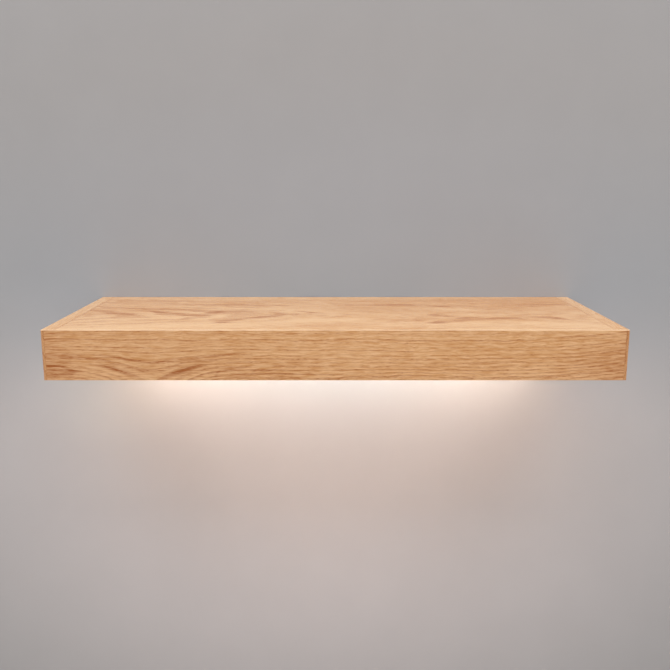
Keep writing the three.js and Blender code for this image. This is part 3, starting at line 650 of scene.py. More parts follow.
def finished_surface(name, pale, dark, size, rough, depth, metallic=0.0):
    """A finish whose colour, gloss and height follow one pattern, stretched the way it was worked."""
    material, tree, shader, place = new_material(name)
    marks = add(tree, "Mapping", {"Vector": place, "Scale": [1 / length for length in size]})
    marks = add(tree, "TexNoise", {"Vector": marks.outputs[0], "Scale": 1.0, "Detail": 4.0, "Roughness": 0.6})
    patch = add(tree, "TexNoise", {"Vector": place, "Scale": 0.06, "Detail": 2.0})
    share = add(tree, "Mix", {0: 0.4, 2: marks.outputs[0], 3: patch.outputs[0]})
    share = add(tree, "MapRange", {0: share.outputs[0], 1: 0.35, 2: 0.65})
    tint = add(tree, "Mix", {0: share.outputs[0], 6: colour(pale), 7: colour(dark)}, data_type="RGBA")
    gloss = add(tree, "MapRange", {0: share.outputs[0], 3: rough - 0.06, 4: rough + 0.08})
    bump = add(tree, "Bump", {"Strength": 0.3, "Distance": depth * MM, "Height": marks.outputs[0]})
    tree.links.new(tint.outputs[2], shader.inputs["Base Color"])
    tree.links.new(gloss.outputs[0], shader.inputs["Roughness"])
    tree.links.new(bump.outputs[0], shader.inputs["Normal"])
    shader.inputs["Metallic"].default_value = metallic
    return material


def powder_coated_steel():
    """Steel plate in black powder coat: a fine orange peel with a soft, broad sheen."""
    return finished_surface("powder_coated_steel", "242527", "1B1C1E", (1.1, 1.1, 1.1), 0.48, 0.06)


def zinc_plated_steel(name, size, pale="C6C8CA", dark="ADB0B4"):
    """Bright plated steel. The tool marks of its turning stay under the plating as fine rings."""
    return finished_surface(name, pale, dark, size, 0.3, 0.02, 1.0)


def turned_brass():
    """Free-cutting brass, turned and left bare: warm yellow with fine rings, a little dulled in patches."""
    return finished_surface("turned_brass", "DBB46C", "C39A56", (1.2, 1.2, 0.3), 0.32, 0.02, 1.0)


def anodised_aluminium():
    """Extruded aluminium, satin anodised: die lines run its whole length and blur what it mirrors."""
    return finished_surface("anodised_aluminium", "CDCFD2", "BCBFC3", (160, 0.5, 0.5), 0.36, 0.02, 1.0)


def moulded_plastic(name, pale, dark):
    """Moulded plastic with the fine even texture of its spark-eroded mould."""
    return finished_surface(name, pale, dark, (0.6, 0.6, 0.6), 0.48, 0.04)


def planed_spruce(name, turn):
    """Planed spruce: cream early wood with narrow amber late-wood lines about 3 mm apart, and no pores."""
    material, tree, shader, place = new_material(name)
    grain = add(tree, "Mapping", {"Vector": place, "Rotation": (0, 0, turn), "Location": (0, 40, 26)})
    bend = add(tree, "Mapping", {"Vector": grain.outputs[0], "Scale": (1 / 120, 1 / 20, 1 / 20)})
    bend = add(tree, "TexNoise", {"Vector": bend.outputs[0], "Scale": 1.0, "Detail": 2.0})
    bend = add(tree, "VectorMath", {0: bend.outputs["Color"], 1: (0, 5, 5)}, operation="MULTIPLY")
    bent = add(tree, "VectorMath", {0: grain.outputs[0], 1: bend.outputs[0]}, operation="ADD")
    round_heart = add(tree, "VectorMath", {0: bent.outputs[0], 1: (0.03, 1, 1)}, operation="MULTIPLY")
    count = add(tree, "VectorMath", {0: round_heart.outputs[0]}, operation="LENGTH")
    count = add(tree, "Math", {0: count.outputs["Value"], 1: 1 / 3.0}, operation="MULTIPLY")
    year = add(tree, "Math", {0: count.outputs[0]}, operation="FRACT")
    year = add(tree, "ValToRGB", {0: year.outputs[0]},
               stops=((0.0, 0.0), (0.5, 0.12), (0.8, 0.55), (0.92, 1.0), (0.97, 0.6), (1.0, 0.0)))
    fibre = add(tree, "Mapping", {"Vector": bent.outputs[0], "Scale": (1 / 18, 1 / 0.7, 1 / 0.7)})
    fibre = add(tree, "TexNoise", {"Vector": fibre.outputs[0], "Scale": 1.0, "Detail": 3.0})
    late = add(tree, "Math", {0: fibre.outputs[0], 1: year.outputs[0]}, operation="MULTIPLY")
    tint = add(tree, "Mix", {0: late.outputs[0], 6: colour("E7CFA3"), 7: colour("A9743D")}, data_type="RGBA")
    gloss = add(tree, "MapRange", {0: fibre.outputs[0], 3: 0.62, 4: 0.78})
    bump = add(tree, "Bump", {"Strength": 0.3, "Distance": 0.1 * MM, "Height": late.outputs[0]})
    tree.links.new(tint.outputs[2], shader.inputs["Base Color"])
    tree.links.new(gloss.outputs[0], shader.inputs["Roughness"])
    tree.links.new(bump.outputs[0], shader.inputs["Normal"])
    return material


def beech_dowel():
    """Turned beech: even, pale and pinkish, with short dark flecks along the grain."""
    return finished_surface("beech_dowel", "DDBE92", "C29C6C", (6, 0.5, 0.5), 0.6, 0.05)


def light_board():
    """A white lacquered circuit board, whose light chips are filled with yellow phosphor."""
    material, tree, shader, place = new_material("white_light_board")
    face = (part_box("light_strip")[1].z - 0.6 * MM) / MM
    part = add(tree, "SeparateXYZ", {0: place})
    chip = add(tree, "Math", {0: part.outputs["Z"], 1: face - 0.05}, operation="LESS_THAN")
    cloud = add(tree, "TexNoise", {"Vector": place, "Scale": 0.8, "Detail": 2.0})
    board = add(tree, "Mix", {0: cloud.outputs[0], 6: colour("F2F1EC"), 7: colour("E8E7E1")},
                data_type="RGBA")
    tint = add(tree, "Mix", {0: chip.outputs[0], 6: board.outputs[2], 7: colour("EBCB62")}, data_type="RGBA")
    gloss = add(tree, "MapRange", {0: cloud.outputs[0], 3: 0.35, 4: 0.5})
    tree.links.new(tint.outputs[2], shader.inputs["Base Color"])
    tree.links.new(gloss.outputs[0], shader.inputs["Roughness"])
    return material


# The boards

# The front arris is cut into 80 lengths, so that it can stray in waves of about this length
EASING_CUTS = 79
EASING_WAVE = 40 * MM
LEAD_HOLE_RADIUS = 3.5 * MM

def outer_form():
    """The shelf's outside, with every arris but those on the wall rounded, and the front one uneven."""
    sizes = bpy.context.scene.shelf_sizes
    high = Vector((SHELF_HIGH.x, SHELF_HIGH.y + RUN_PAST, SHELF_HIGH.z))
    form = block("outer_form", SHELF_LOW, high)
    ease(form, sizes.arris, sizes.rounding, lambda edge: middle(edge).y < high.y - NEAR)
    edit(form)
    length = SHELF_HIGH.x - SHELF_LOW.x
    pick("EDGE", lambda edge: runs(edge, 0) and (edge.verts[0].co - edge.verts[1].co).length > 0.9 * length)
    bpy.ops.mesh.subdivide(number_cuts=EASING_CUTS)
    deselect()
    arris = form.vertex_groups.new(name="front_arris")
    front = SHELF_LOW.y + sizes.arris - NEAR
    top = SHELF_HIGH.z - sizes.arris + NEAR
    arris.add([v.index for v in form.data.vertices if v.co.y < front and v.co.z > top
               and v.co.y > SHELF_LOW.y + NEAR and v.co.z < SHELF_HIGH.z - NEAR], 1.0, "REPLACE")
    uneven = bpy.data.textures.new("hand_easing", "CLOUDS")
    uneven.noise_scale = EASING_WAVE
    apply(form, "DISPLACE", texture=uneven, texture_coords="LOCAL", vertex_group="front_arris", mid_level=1.0,
          strength=sizes.arris_wander)
    return form


def dowel_holes():
    """A cutter for each dowel in the ends, a little larger than the dowel."""
    sizes = bpy.context.scene.shelf_sizes
    tools = []
    for name in [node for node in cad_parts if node.startswith("dowel_")]:
        low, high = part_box(name)
        radius = (high.z - low.z) / 2 + sizes.play
        length = high.x - low.x + 2 * sizes.play
        tool = turned("hole", ((radius, -length / 2), (radius, length / 2)), 16)
        tools.append(laid(tool, (low + high) / 2, (0, math.pi / 2, 0)))
    return tools


def level_board(name, node, up):
    """The top or bottom board, mitred to the front board."""
    low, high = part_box(node)
    low.y = SHELF_LOW.y + GLUE_LINE - RUN_PAST
    inner = CEILING * up
    outer = (SHELF_HIGH.z + RUN_PAST) * up
    low.z = min(inner, outer)
    high.z = max(inner, outer)
    board = block(name, low, high)
    edit(board)
    pick("EDGE", lambda edge: middle(edge).y < low.y + NEAR and abs(middle(edge).z - inner) < NEAR)
    bpy.ops.transform.translate(value=(0, BOARD + RUN_PAST, 0))
    deselect()
    return board


class ShelfTopBoard(Operator):
    """Makes the top board with its cathedral figure"""

    bl_idname = "shelf.top_board"
    bl_label = "Top board"

    def execute(self, context):
        board = level_board("oak_top", "top_board", 1)
        cut(board, *dowel_holes())
        cut(board, outer_form(), operation="INTERSECT")
        figure = (
            # A small lens, the line that leaves it, and the arch that ends the figure on the left
            (-262, -127, 9, 6, 0, 0.35),
            (-246, -126, 26, 6, 0, 0.4),
            (-228, -128, 14, 6, -3, 0.25),
            (-216, -111, 26, 5, -13, 0.25),
            (-176, -123, 24, 6, -22, 0.25),
            (-154, -133, 20, 7, -6, 0.4),
            (-137, -114, 28, 6, 24, 0.3),
            (-95, -108, 24, 7, -11, 0.35),
            (-64, -121, 12, 7, -43, 0.55),
            (-64, -137, 12, 7, 47, 0.5),
            (-82, -149, 14, 7, 26, 0.35),
            (-108, -163, 18, 6, 33, 0.25),
            (-45, -128, 6, 10, 0, 0.45),
            (-28, -124, 6, 8, 0, 0.35),
            (-14, -137, 7, 8, 0, 0.35),
            (-121, -176, 10, 7, 0, 0.5),
            # The eye on the right and its tail
            (102, -140, 15, 7, 42, 0.25),
            (122, -139, 12, 7, -42, 0.25),
            (140, -153, 12, 7, -33, 0.25),
            (136, -168, 15, 7, 35, 0.25),
            (115, -182, 10, 7, 31, 0.25),
            (92, -162, 7, 11, 0, 0.2),
            (108, -176, 11, 9, -15, 0.35),
            (165, -155, 28, 7, -2, 0.3),
            (215, -151, 38, 7, 5, 0.25),
            (240, -153, 12, 8, -20, 0.25),
            (262, -159, 14, 7, 0, 0.2),
            # Streaks towards the wall
            (18, -68, 20, 7, 0, 0.3),
            (72, -65, 30, 8, 0, 0.5),
            (125, -75, 28, 7, 0, 0.4),
            (194, -96, 32, 8, 0, 0.4),
            (-240, -38, 60, 12, 0, 0.3),
            (-100, -62, 90, 8, 0, 0.2),
            (250, -60, 40, 8, 0, 0.25),
            (-30, -28, 120, 9, 0, 0.15),
            (160, -30, 90, 8, 2, 0.2),
            (0, -20, 700, 90, 0, 0.04),
            (215, -45, 80, 30, 0, 0.1),
            (-210, -70, 170, 110, 0, 0.15),
            # Paler towards the front
            (0, -205, 700, 65, 0, -0.36),
            (57, -186, 60, 18, 0, -0.4),
            (-170, -192, 120, 18, 0, -0.3),
            (-20, -165, 60, 12, 0, -0.25),
            (-235, -155, 50, 10, 0, -0.3),
            (200, -188, 90, 12, 0, -0.2),
        )
        rings = partial(heart_rings, heart_y=-138, heart_z=-124, lean=0.057, turning=180)
        finish = context.scene.shelf_finish
        # The top's paler colours are painted light
        material = oak("oiled_oak_top", rings, figure, lines=0.36, tone=0.6, zone=60, joint=END_INNER / MM,
                       pale=finish.top_pale_painted_lighter, body=finish.top_body_painted_lighter, rough=0.2)
        hand_over(board, material, "shelf", "oak_boards", "top_board")
        return {"FINISHED"}


class ShelfBottomBoard(Operator):
    """Makes the bottom board, grooved for the light and bored for the inserts and the lead"""

    bl_idname = "shelf.bottom_board"
    bl_label = "Bottom board"

    def execute(self, context):
        sizes = context.scene.shelf_sizes
        board = level_board("oak_bottom", "bottom_board", -1)
        tools = dowel_holes()
        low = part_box("light_cap_left")[0]
        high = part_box("light_cap_right")[1]
        play = Vector((sizes.play, sizes.play, 0))
        below = Vector((0, 0, 2 * RUN_PAST))
        rim = Vector((high.x, high.y, low.z + sizes.flange + sizes.play))
        tools.append(block("rebate", low - play - below, rim + play))
        centre = (low.y + high.y) / 2
        groove_low = Vector((low.x, centre - sizes.channel_width / 2, low.z))
        groove_high = Vector((high.x, centre + sizes.channel_width / 2, high.z + sizes.play))
        tools.append(block("groove", groove_low - play - below, groove_high + play))
        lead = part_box("lead_clip_inner")
        hole = turned("hole", ((LEAD_HOLE_RADIUS, 0), (LEAD_HOLE_RADIUS, 3 * BOARD)), sizes.flats)
        tools.append(laid(hole, ((lead[0].x + lead[1].x) / 2, centre, low.z - BOARD)))
        for side, _ in SIDES:
            foot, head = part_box("insert_" + side)
            across = (head.x - foot.x) / 2
            seat = foot.z + INSERT_RIM + sizes.play
            profile = (
                (across + sizes.play, foot.z - 2 * RUN_PAST),
                (across + sizes.play, seat),
                (INSERT_RADIUS + sizes.play, seat),
                (INSERT_RADIUS + sizes.play, SHELF_LOW.z + 2 * BOARD),
            )
            place = ((foot.x + head.x) / 2, (foot.y + head.y) / 2, 0)
            tools.append(laid(turned("bore", profile, sizes.flats), place))
        cut(board, *tools)
        cut(board, outer_form(), operation="INTERSECT")
        figure = (
            (-60, -110, 90, 9, 2, 0.3),
            (150, -150, 60, 7, -3, 0.3),
        )
        rings = partial(heart_rings, heart_y=-95, heart_z=110, lean=-0.03, turning=-60)
        material = oak("oiled_oak_bottom", rings, figure, shift=(310, 0, 0))
        hand_over(board, material, "shelf", "oak_boards", "bottom_board")
        return {"FINISHED"}


class ShelfFrontBoard(Operator):
    """Makes the front board between the two lips"""

    bl_idname = "shelf.front_board"
    bl_label = "Front board"

    def execute(self, context):
        low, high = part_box("front_board")
        low.y -= RUN_PAST
        low.z = SHELF_LOW.z - RUN_PAST
        high.z = SHELF_HIGH.z + RUN_PAST
        board = block("oak_front", low, high)
        edit(board)
        pick("FACE", lambda face: face.normal.y > 0.9)
        bpy.ops.transform.resize(value=(1, 1, CEILING / high.z), center_override=(0, high.y, 0))
        deselect()
        cut(board, outer_form(), operation="INTERSECT")
        figure = (
            # The tip of an arch at the left end
            (-291, -11, 10, 1.6, -4, 0.4),
            (-275, -14.3, 10, 1.8, -19, 0.4),
            (-271, -18, 8, 2.6, 8, 0.4),
            (-287, -20.8, 12, 1.4, 2, 0.4),
            (-288, -16, 12, 2.5, 0, 0.25),
            # Two thick streaks that lean towards each other
            (-222, -15.5, 20, 2.3, -17, 0.55),
            (-155, -16, 22, 3.4, 17, 0.6),
            # The line that sags above them
            (-271, -1.4, 30, 1.1, -3.5, 0.3),
            (-238, -2.6, 14, 1.1, 3, 0.3),
            (-211, -4.8, 20, 1.2, -9, 0.4),
            (-178, -7.4, 18, 1.3, 2, 0.45),
            (-145, -4, 20, 1.2, 8, 0.4),
            (-108, 1.2, 22, 1.1, 8, 0.3),
            # Hooks near the lower edge
            (-108, -15.2, 16, 1.6, 8, 0.35),
            (-121, -18.5, 5, 1.6, 45, 0.3),
            (-72, -15.8, 12, 1.5, -2, 0.35),
            (-84, -18, 5, 1.6, 45, 0.25),
            (-95, -21, 26, 1.4, 3, 0.25),
            (-50, -20, 30, 1.4, 0, 0.3),
            # Painted shade: both ends are a little darker, as the light falls off towards them
            (-300, 0, 30, 44, 0, 0.25),
            (-215, -4, 170, 50, 0, 0.1),
            (300, -12, 60, 34, 0, 0.25),
            (299, 0, 8, 80, 0, 0.1),
        )
        material = oak("oiled_oak_front", front_rings, figure, face="Y")
        hand_over(board, material, "shelf", "oak_boards", "front_board")
        return {"FINISHED"}


class ShelfEndBoards(Operator):
    """Makes the two end boards, rebated for the front board"""

    bl_idname = "shelf.end_boards"
    bl_label = "End boards"

    def execute(self, context):
        for side, sign in SIDES:
            low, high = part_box("end_board_" + side)
            over = Vector((0, RUN_PAST, RUN_PAST))
            outside = Vector((RUN_PAST, 0, 0)) * sign
            low = low - over + (outside if sign < 0 else Vector())
            high = high + Vector((0, 0, RUN_PAST)) + (outside if sign > 0 else Vector())
            board = block("oak_end_" + side, low, high)
            inner = (END_INNER - RUN_PAST) * sign
            lip = LIP_INNER * sign
            reach = SHELF_HIGH.z + RUN_PAST + GLUE_LINE
            tool_low = (min(inner, lip), SHELF_LOW.y - RUN_PAST, -reach)
            tool_high = (max(inner, lip), FRONT_INNER + GLUE_LINE, reach)
            rebate = block("rebate", tool_low, tool_high)
            edit(rebate)
            pick("FACE", lambda face: face.normal.y > 0.9)
            bpy.ops.transform.resize(value=(1, 1, CEILING / reach), center_override=(0, FRONT_INNER, 0))
            deselect()
            cut(board, rebate, *dowel_holes())
            cut(board, outer_form(), operation="INTERSECT")
            rings = partial(heart_rings, heart_y=0, heart_z=40, lean=0.02, turning=150)
            finish = context.scene.shelf_finish
            # The end boards take the top's paler colours, which are painted light
            material = oak("oiled_oak_end_" + side, rings, turn=math.pi / 2, shift=(70 * sign, 8, 12 * sign),
                           lines=0.3, share=0.35, pale=finish.top_pale_painted_lighter, body=finish.top_body_painted_lighter, rough=0.2,
                           end_grain=True)
            hand_over(board, material, "shelf", "oak_ends", "end_board_" + side)
        return {"FINISHED"}


# The line light

COVER_LEG = 1 * MM
COVER_WEB = 1.6 * MM
EXTRUSION_EASE = 0.25 * MM
CAP_EASE = 0.3 * MM
# A cap's tongue in the channel: half its width, and what it leaves free below and above it
TONGUE_HALF_WIDTH = 4.5 * MM
TONGUE_BELOW = 1.9 * MM
TONGUE_ABOVE = 1.5 * MM

def opal_cover():
    """Extruded opal polycarbonate: milky, softly glossy, and lit evenly from behind."""
    finish = bpy.context.scene.shelf_finish
    material, tree, shader, place = new_material("opal_polycarbonate")
    haze = add(tree, "TexNoise", {"Vector": place, "Scale": 0.08, "Detail": 2.0})
    milk = add(tree, "Mix", {0: haze.outputs[0], 6: colour("F4EEE4"), 7: colour("FBF7F0")}, data_type="RGBA")
    gloss = add(tree, "MapRange", {0: haze.outputs[0], 3: 0.38, 4: 0.5})
    tree.links.new(milk.outputs[2], shader.inputs["Base Color"])
    tree.links.new(gloss.outputs[0], shader.inputs["Roughness"])
    shader.inputs["IOR"].default_value = 1.58
    shader.inputs["Emission Color"].default_value = finish.light
    shader.inputs["Emission Strength"].default_value = finish.light_strength
    return material


class ShelfLight(Operator):
    """Makes the opal cover, which lights the wall"""

    bl_idname = "shelf.light_cover"
    bl_label = "Light cover"

    def execute(self, context):
        low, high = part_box("light_cover")
        cover = block("opal_cover", low, high)
        hollow_low = (low.x - RUN_PAST, low.y + COVER_LEG, low.z + COVER_WEB)
        hollow_high = (high.x + RUN_PAST, high.y - COVER_LEG, high.z + RUN_PAST)
        cut(cover, block("hollow", hollow_low, hollow_high))
        ease(cover, EXTRUSION_EASE, 3, lambda edge: runs(edge, 0) and middle(edge).z < low.z + NEAR)
        hand_over(cover, opal_cover(), "shelf", "opal_cover", "light_cover")
        return {"FINISHED"}


class ShelfChannel(Operator):
    """Makes the aluminium channel that holds the light, and its two end caps"""

    bl_idname = "shelf.light_channel"
    bl_label = "Light channel and caps"

    def execute(self, context):
        sizes = context.scene.shelf_sizes
        low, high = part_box("light_channel")
        centre = (low.y + high.y) / 2
        half = sizes.channel_width / 2
        inside = half - sizes.channel_wall
        past = RUN_PAST

        def beside(piece_low, piece_high):
            """Cutters for both sides above the flange, which stands out there."""
            return (
                block("side", (piece_low.x - past, low.y - past, low.z + sizes.flange),
                      (piece_high.x + past, centre - half, high.z + past)),
                block("side", (piece_low.x - past, centre + half, low.z + sizes.flange),
                      (piece_high.x + past, high.y + past, high.z + past)),
            )

        channel = block("extruded_light_channel", low, high)
        hollow = block("hollow", (low.x - past, centre - inside, low.z - past),
                       (high.x + past, centre + inside, high.z - sizes.channel_wall))
        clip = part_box("lead_clip_inner")
        hole = turned("hole", ((LEAD_HOLE_RADIUS, 0), (LEAD_HOLE_RADIUS, BOARD)), sizes.flats)
        hole = laid(hole, ((clip[0].x + clip[1].x) / 2, centre, (low.z + high.z) / 2))
        cut(channel, *beside(low, high), hollow, hole)
        ease(channel, EXTRUSION_EASE, 3,
             lambda edge: runs(edge, 0) and abs(middle(edge).y - centre) > half + NEAR)
        hand_over(channel, anodised_aluminium(), "shelf", "aluminium", "light_channel")

        cap_low, cap_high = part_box("light_cap_left")
        plate_high = Vector((low.x, cap_high.y, cap_high.z))
        cap = block("moulded_light_cap_left", cap_low, plate_high)
        cut(cap, *beside(cap_low, plate_high))
        ease(cap, CAP_EASE, 3, lambda edge: middle(edge).x < cap_low.x + NEAR)
        tongue = block("tongue", (low.x - past, centre - TONGUE_HALF_WIDTH, low.z + TONGUE_BELOW),
                       (cap_high.x, centre + TONGUE_HALF_WIDTH, high.z - TONGUE_ABOVE))
        cut(cap, tongue, operation="UNION")
        other = twin(cap, "moulded_light_cap_right", (0, 0, 0))
        laid(other, (0, 2 * centre, 0), (0, 0, math.pi))
        material = moulded_plastic("moulded_grey_abs", "BFC0C2", "B6B8BB")
        hand_over(cap, material, "shelf", "grey_plastic", "light_cap_left")
        hand_over(other, material, "shelf", "grey_plastic", "light_cap_right")
        return {"FINISHED"}


# The bracket and the screws


def thread(radius, depth, start, end, pitch):
    """Profile points of the ridges of a thread."""
    points = []
    for i in range(int((end - start) / pitch)):
        points.append((radius, start + i * pitch))
        points.append((radius - depth, start + (i + 0.5) * pitch))
    return points


# Sizes of the small turned and moulded parts. A thread is its depth and its pitch.
SCREW_PLAY = 0.3 * MM
WALL_HOLES = 4
ROD_FLATS = 64
ROD_BORE_DEPTH = 16.3 * MM
ROD_FOOT_EDGE = 0.3 * MM
# The centre mark in a rod's tip, where it was held for turning
MARK_RADIUS = 1.4 * MM
MARK_POINT = 0.3 * MM
MARK_DEPTH = 1.1 * MM
KEY_SIDES = 6
HEAD_EDGE = 0.2 * MM
# A thread's depth as a share of its pitch, and the width at a shank's tip as a share of the shank
THREAD_SHARE = 0.4
TIP_SHARE = 0.8
PLATE_EASE = 0.4 * MM
CORNER_FLATS = 8
INSERT_BORE_RADIUS = 3.3 * MM
INSERT_MOUTH = 0.5 * MM
INSERT_RIM = 1.2 * MM
INSERT_RADIUS = 4.5 * MM
INSERT_THREAD = (0.7 * MM, 2 * MM)
LOCK_CHAMFER = 0.7 * MM
LOCK_THREAD = (0.4 * MM, 1 * MM)
LOCK_KEY_RADIUS = 1.5 * MM
LOCK_KEY_DEPTH = 3 * MM
INLET_FLANGE = 2 * MM
INLET_RADIUS = 4 * MM
INLET_THREAD = (0.25 * MM, 0.8 * MM)
INLET_WELL = 9.5 * MM
INLET_BORE_RADIUS = 2.75 * MM
INLET_MOUTH = 0.3 * MM
PIN_RADIUS = 1 * MM
PIN_FLATS = 24
TAG_LENGTH = 3 * MM
TAG_HALF_WIDTH = 1 * MM
TAG_HALF_THICK = 0.3 * MM
TAG_OFF_MIDDLE = 2.6 * MM
TAG_ROOT = 0.6 * MM
EYE_RADIUS = 0.5 * MM
EYE_FLATS = 16


def countersunk_screw(prefix, node, size):
    """A screw about Y with a six-sided socket. Its head stands at the wall's side."""
    flats = bpy.context.scene.shelf_sizes.flats
    low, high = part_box(node)
    head = (high.x - low.x) / 2
    length = high.y - low.y
    shank = size["shank"] / 2
    neck = head - shank + size["plain"]
    tip = length - size["tip"]
    profile = (
        (head - HEAD_EDGE, 0),
        (head, HEAD_EDGE),
        (shank, HEAD_EDGE + head - shank),
        *thread(shank, size["pitch"] * THREAD_SHARE, neck, tip, size["pitch"]),
        (shank * TIP_SHARE, tip),
        (size["point"] / 2, length),
    )
    screw = turned(prefix + node, profile, flats)
    key = size["key"] / 2
    socket = turned("socket", ((key, -RUN_PAST), (key, size["key_depth"])), KEY_SIDES)
    cut(screw, socket)
    return laid(screw, ((low.x + high.x) / 2, high.y, (low.z + high.z) / 2), OUT_OF_WALL)


MACHINE_SCREW = {
    "shank": 6 * MM, "plain": 1 * MM, "pitch": 1 * MM, "tip": 0.8 * MM, "point": 4.4 * MM,
    "key": 4 * MM, "key_depth": 1.8 * MM,
}
WOOD_SCREW = {
    "shank": 4 * MM, "plain": 16 * MM, "pitch": 1.8 * MM, "tip": 3 * MM, "point": 0.5 * MM,
    "key": 2.6 * MM, "key_depth": 1.5 * MM,
}


class ShelfWallPlate(Operator):
    """Makes the steel plate that is screwed to the wall"""

    bl_idname = "shelf.wall_plate"
    bl_label = "Wall plate"

    def execute(self, context):
        sizes = context.scene.shelf_sizes
        low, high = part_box("wall_plate")
        thick = high.y - low.y
        plate = block("coated_wall_plate", low, high)
        ease(plate, sizes.plate_corner, CORNER_FLATS, lambda edge: runs(edge, 1))
        ease(plate, PLATE_EASE, 3, lambda edge: not runs(edge, 1))
        tools = []
        hole = sizes.wall_hole / 2
        head = sizes.wall_hole_head / 2
        rods = [sum(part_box("rod_" + side), Vector()) / 2 for side, _ in SIDES]
        pitch = (rods[1].x - rods[0].x) / WALL_HOLES
        for i in range(WALL_HOLES):
            profile = (
                (hole, -RUN_PAST),
                (hole, thick - head + hole),
                (head, thick),
                (head, thick + RUN_PAST),
            )
            x = (i - (WALL_HOLES - 1) / 2) * pitch
            tools.append(laid(turned("hole", profile, sizes.flats), (x, high.y, 0), OUT_OF_WALL))
        for rod, (side, _) in zip(rods, SIDES):
            screw_low, screw_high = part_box("rod_screw_" + side)
            head = (screw_high.x - screw_low.x) / 2 + SCREW_PLAY
            shank = MACHINE_SCREW["shank"] / 2 + SCREW_PLAY
            sink = high.y - screw_high.y
            profile = (
                (head, -RUN_PAST),
                (head, sink),
                (shank, sink + head - shank),
                (shank, thick + RUN_PAST),
            )
            tools.append(laid(turned("hole", profile, sizes.flats), (rod.x, high.y, 0), OUT_OF_WALL))
        cut(plate, *tools)
        hand_over(plate, powder_coated_steel(), "bracket", "black_steel", "wall_plate")
        return {"FINISHED"}


class ShelfRods(Operator):
    """Makes the two rods and the screws that hold them to the plate"""

    bl_idname = "shelf.rods"
    bl_label = "Rods and their screws"

    def execute(self, context):
        sizes = context.scene.shelf_sizes
        low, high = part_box("rod_left")
        radius = (high.x - low.x) / 2
        length = high.y - low.y
        bore = MACHINE_SCREW["shank"] / 2 + SCREW_PLAY
        chamfer = sizes.rod_chamfer
        profile = (
            (bore, ROD_BORE_DEPTH),
            (bore, 0),
            (radius - ROD_FOOT_EDGE, 0),
            (radius, ROD_FOOT_EDGE),
            (radius, length - chamfer),
            (radius - 0.8 * chamfer, length - 0.15 * chamfer),
            (radius - 1.1 * chamfer, length),
            (MARK_RADIUS, length),
            (MARK_POINT, length - MARK_DEPTH),
        )
        rod = turned("steel_rod_left", profile, ROD_FLATS)
        laid(rod, ((low.x + high.x) / 2, high.y, 0), OUT_OF_WALL)
        steel = zinc_plated_steel("zinc_plated_rod", (0.35, 0.35, 0.35))
        hand_over_each(rod, "steel_", both("rod_"), steel, "bracket", "zinc_steel")
        names = both("rod_screw_")
        screw = countersunk_screw("steel_", names[0], MACHINE_SCREW)
        steel = zinc_plated_steel("zinc_plated_screw", (1.2, 0.3, 1.2))
        hand_over_each(screw, "steel_", names, steel, "bracket", "zinc_steel")
        return {"FINISHED"}


class ShelfRailScrews(Operator):
    """Makes the wood screws that hold the rear rail"""

    bl_idname = "shelf.rail_screws"
    bl_label = "Rail screws"

    def execute(self, context):
        names = [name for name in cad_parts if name.startswith("rail_screw_")]
        screw = countersunk_screw("steel_", names[0], WOOD_SCREW)
        steel = zinc_plated_steel("yellow_zinc_screw", (1.2, 0.3, 1.2), "D8C283", "C2AE78")
        hand_over_each(screw, "steel_", names, steel, "shelf", "zinc_steel")
        return {"FINISHED"}


class ShelfLocks(Operator):
    """Makes the brass inserts and the grub screws that lock the shelf on its rods"""

    bl_idname = "shelf.locks"
    bl_label = "Locking screws and inserts"

    def execute(self, context):
        sizes = context.scene.shelf_sizes
        low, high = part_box("insert_left")
        centre = ((low.x + high.x) / 2, (low.y + high.y) / 2, low.z)
        flange = (high.x - low.x) / 2
        length = high.z - low.z
        body = INSERT_RADIUS
        depth, pitch = INSERT_THREAD
        profile = (
            (flange - 0.3 * MM, 0),
            (flange, 0.3 * MM),
            (flange, INSERT_RIM),
            (body, INSERT_RIM),
            *thread(body, depth, INSERT_RIM + 1 * MM, length - 0.6 * MM, pitch),
            (body - depth, length),
        )
        insert = turned("brass_insert_left", profile, sizes.flats)
        bore = (
            (INSERT_BORE_RADIUS + INSERT_MOUTH, -RUN_PAST),
            (INSERT_BORE_RADIUS + INSERT_MOUTH, 0),
            (INSERT_BORE_RADIUS, INSERT_MOUTH),
            (INSERT_BORE_RADIUS, length + RUN_PAST),
        )
        cut(insert, turned("bore", bore, sizes.flats))
        laid(insert, centre)
        hand_over_each(insert, "brass_", both("insert_"), turned_brass(), "shelf", "brass")

        low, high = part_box("lock_screw_left")
        length = high.z - low.z
        radius = (high.x - low.x) / 2
        profile = (
            (radius - LOCK_CHAMFER, 0),
            *thread(radius, LOCK_THREAD[0], LOCK_CHAMFER, length - LOCK_CHAMFER, LOCK_THREAD[1]),
            (radius - LOCK_THREAD[0], length - LOCK_CHAMFER),
            (radius - LOCK_CHAMFER, length),
        )
        screw = turned("steel_lock_screw_left", profile, sizes.flats)
        socket = ((LOCK_KEY_RADIUS, -RUN_PAST), (LOCK_KEY_RADIUS, LOCK_KEY_DEPTH))
        cut(screw, turned("socket", socket, KEY_SIDES))
        laid(screw, centre)
        names = both("lock_screw_")
        steel = zinc_plated_steel("zinc_plated_grub_screw", (1.2, 1.2, 0.3))
        hand_over_each(screw, "steel_", names, steel, "shelf", "zinc_steel")
        return {"FINISHED"}


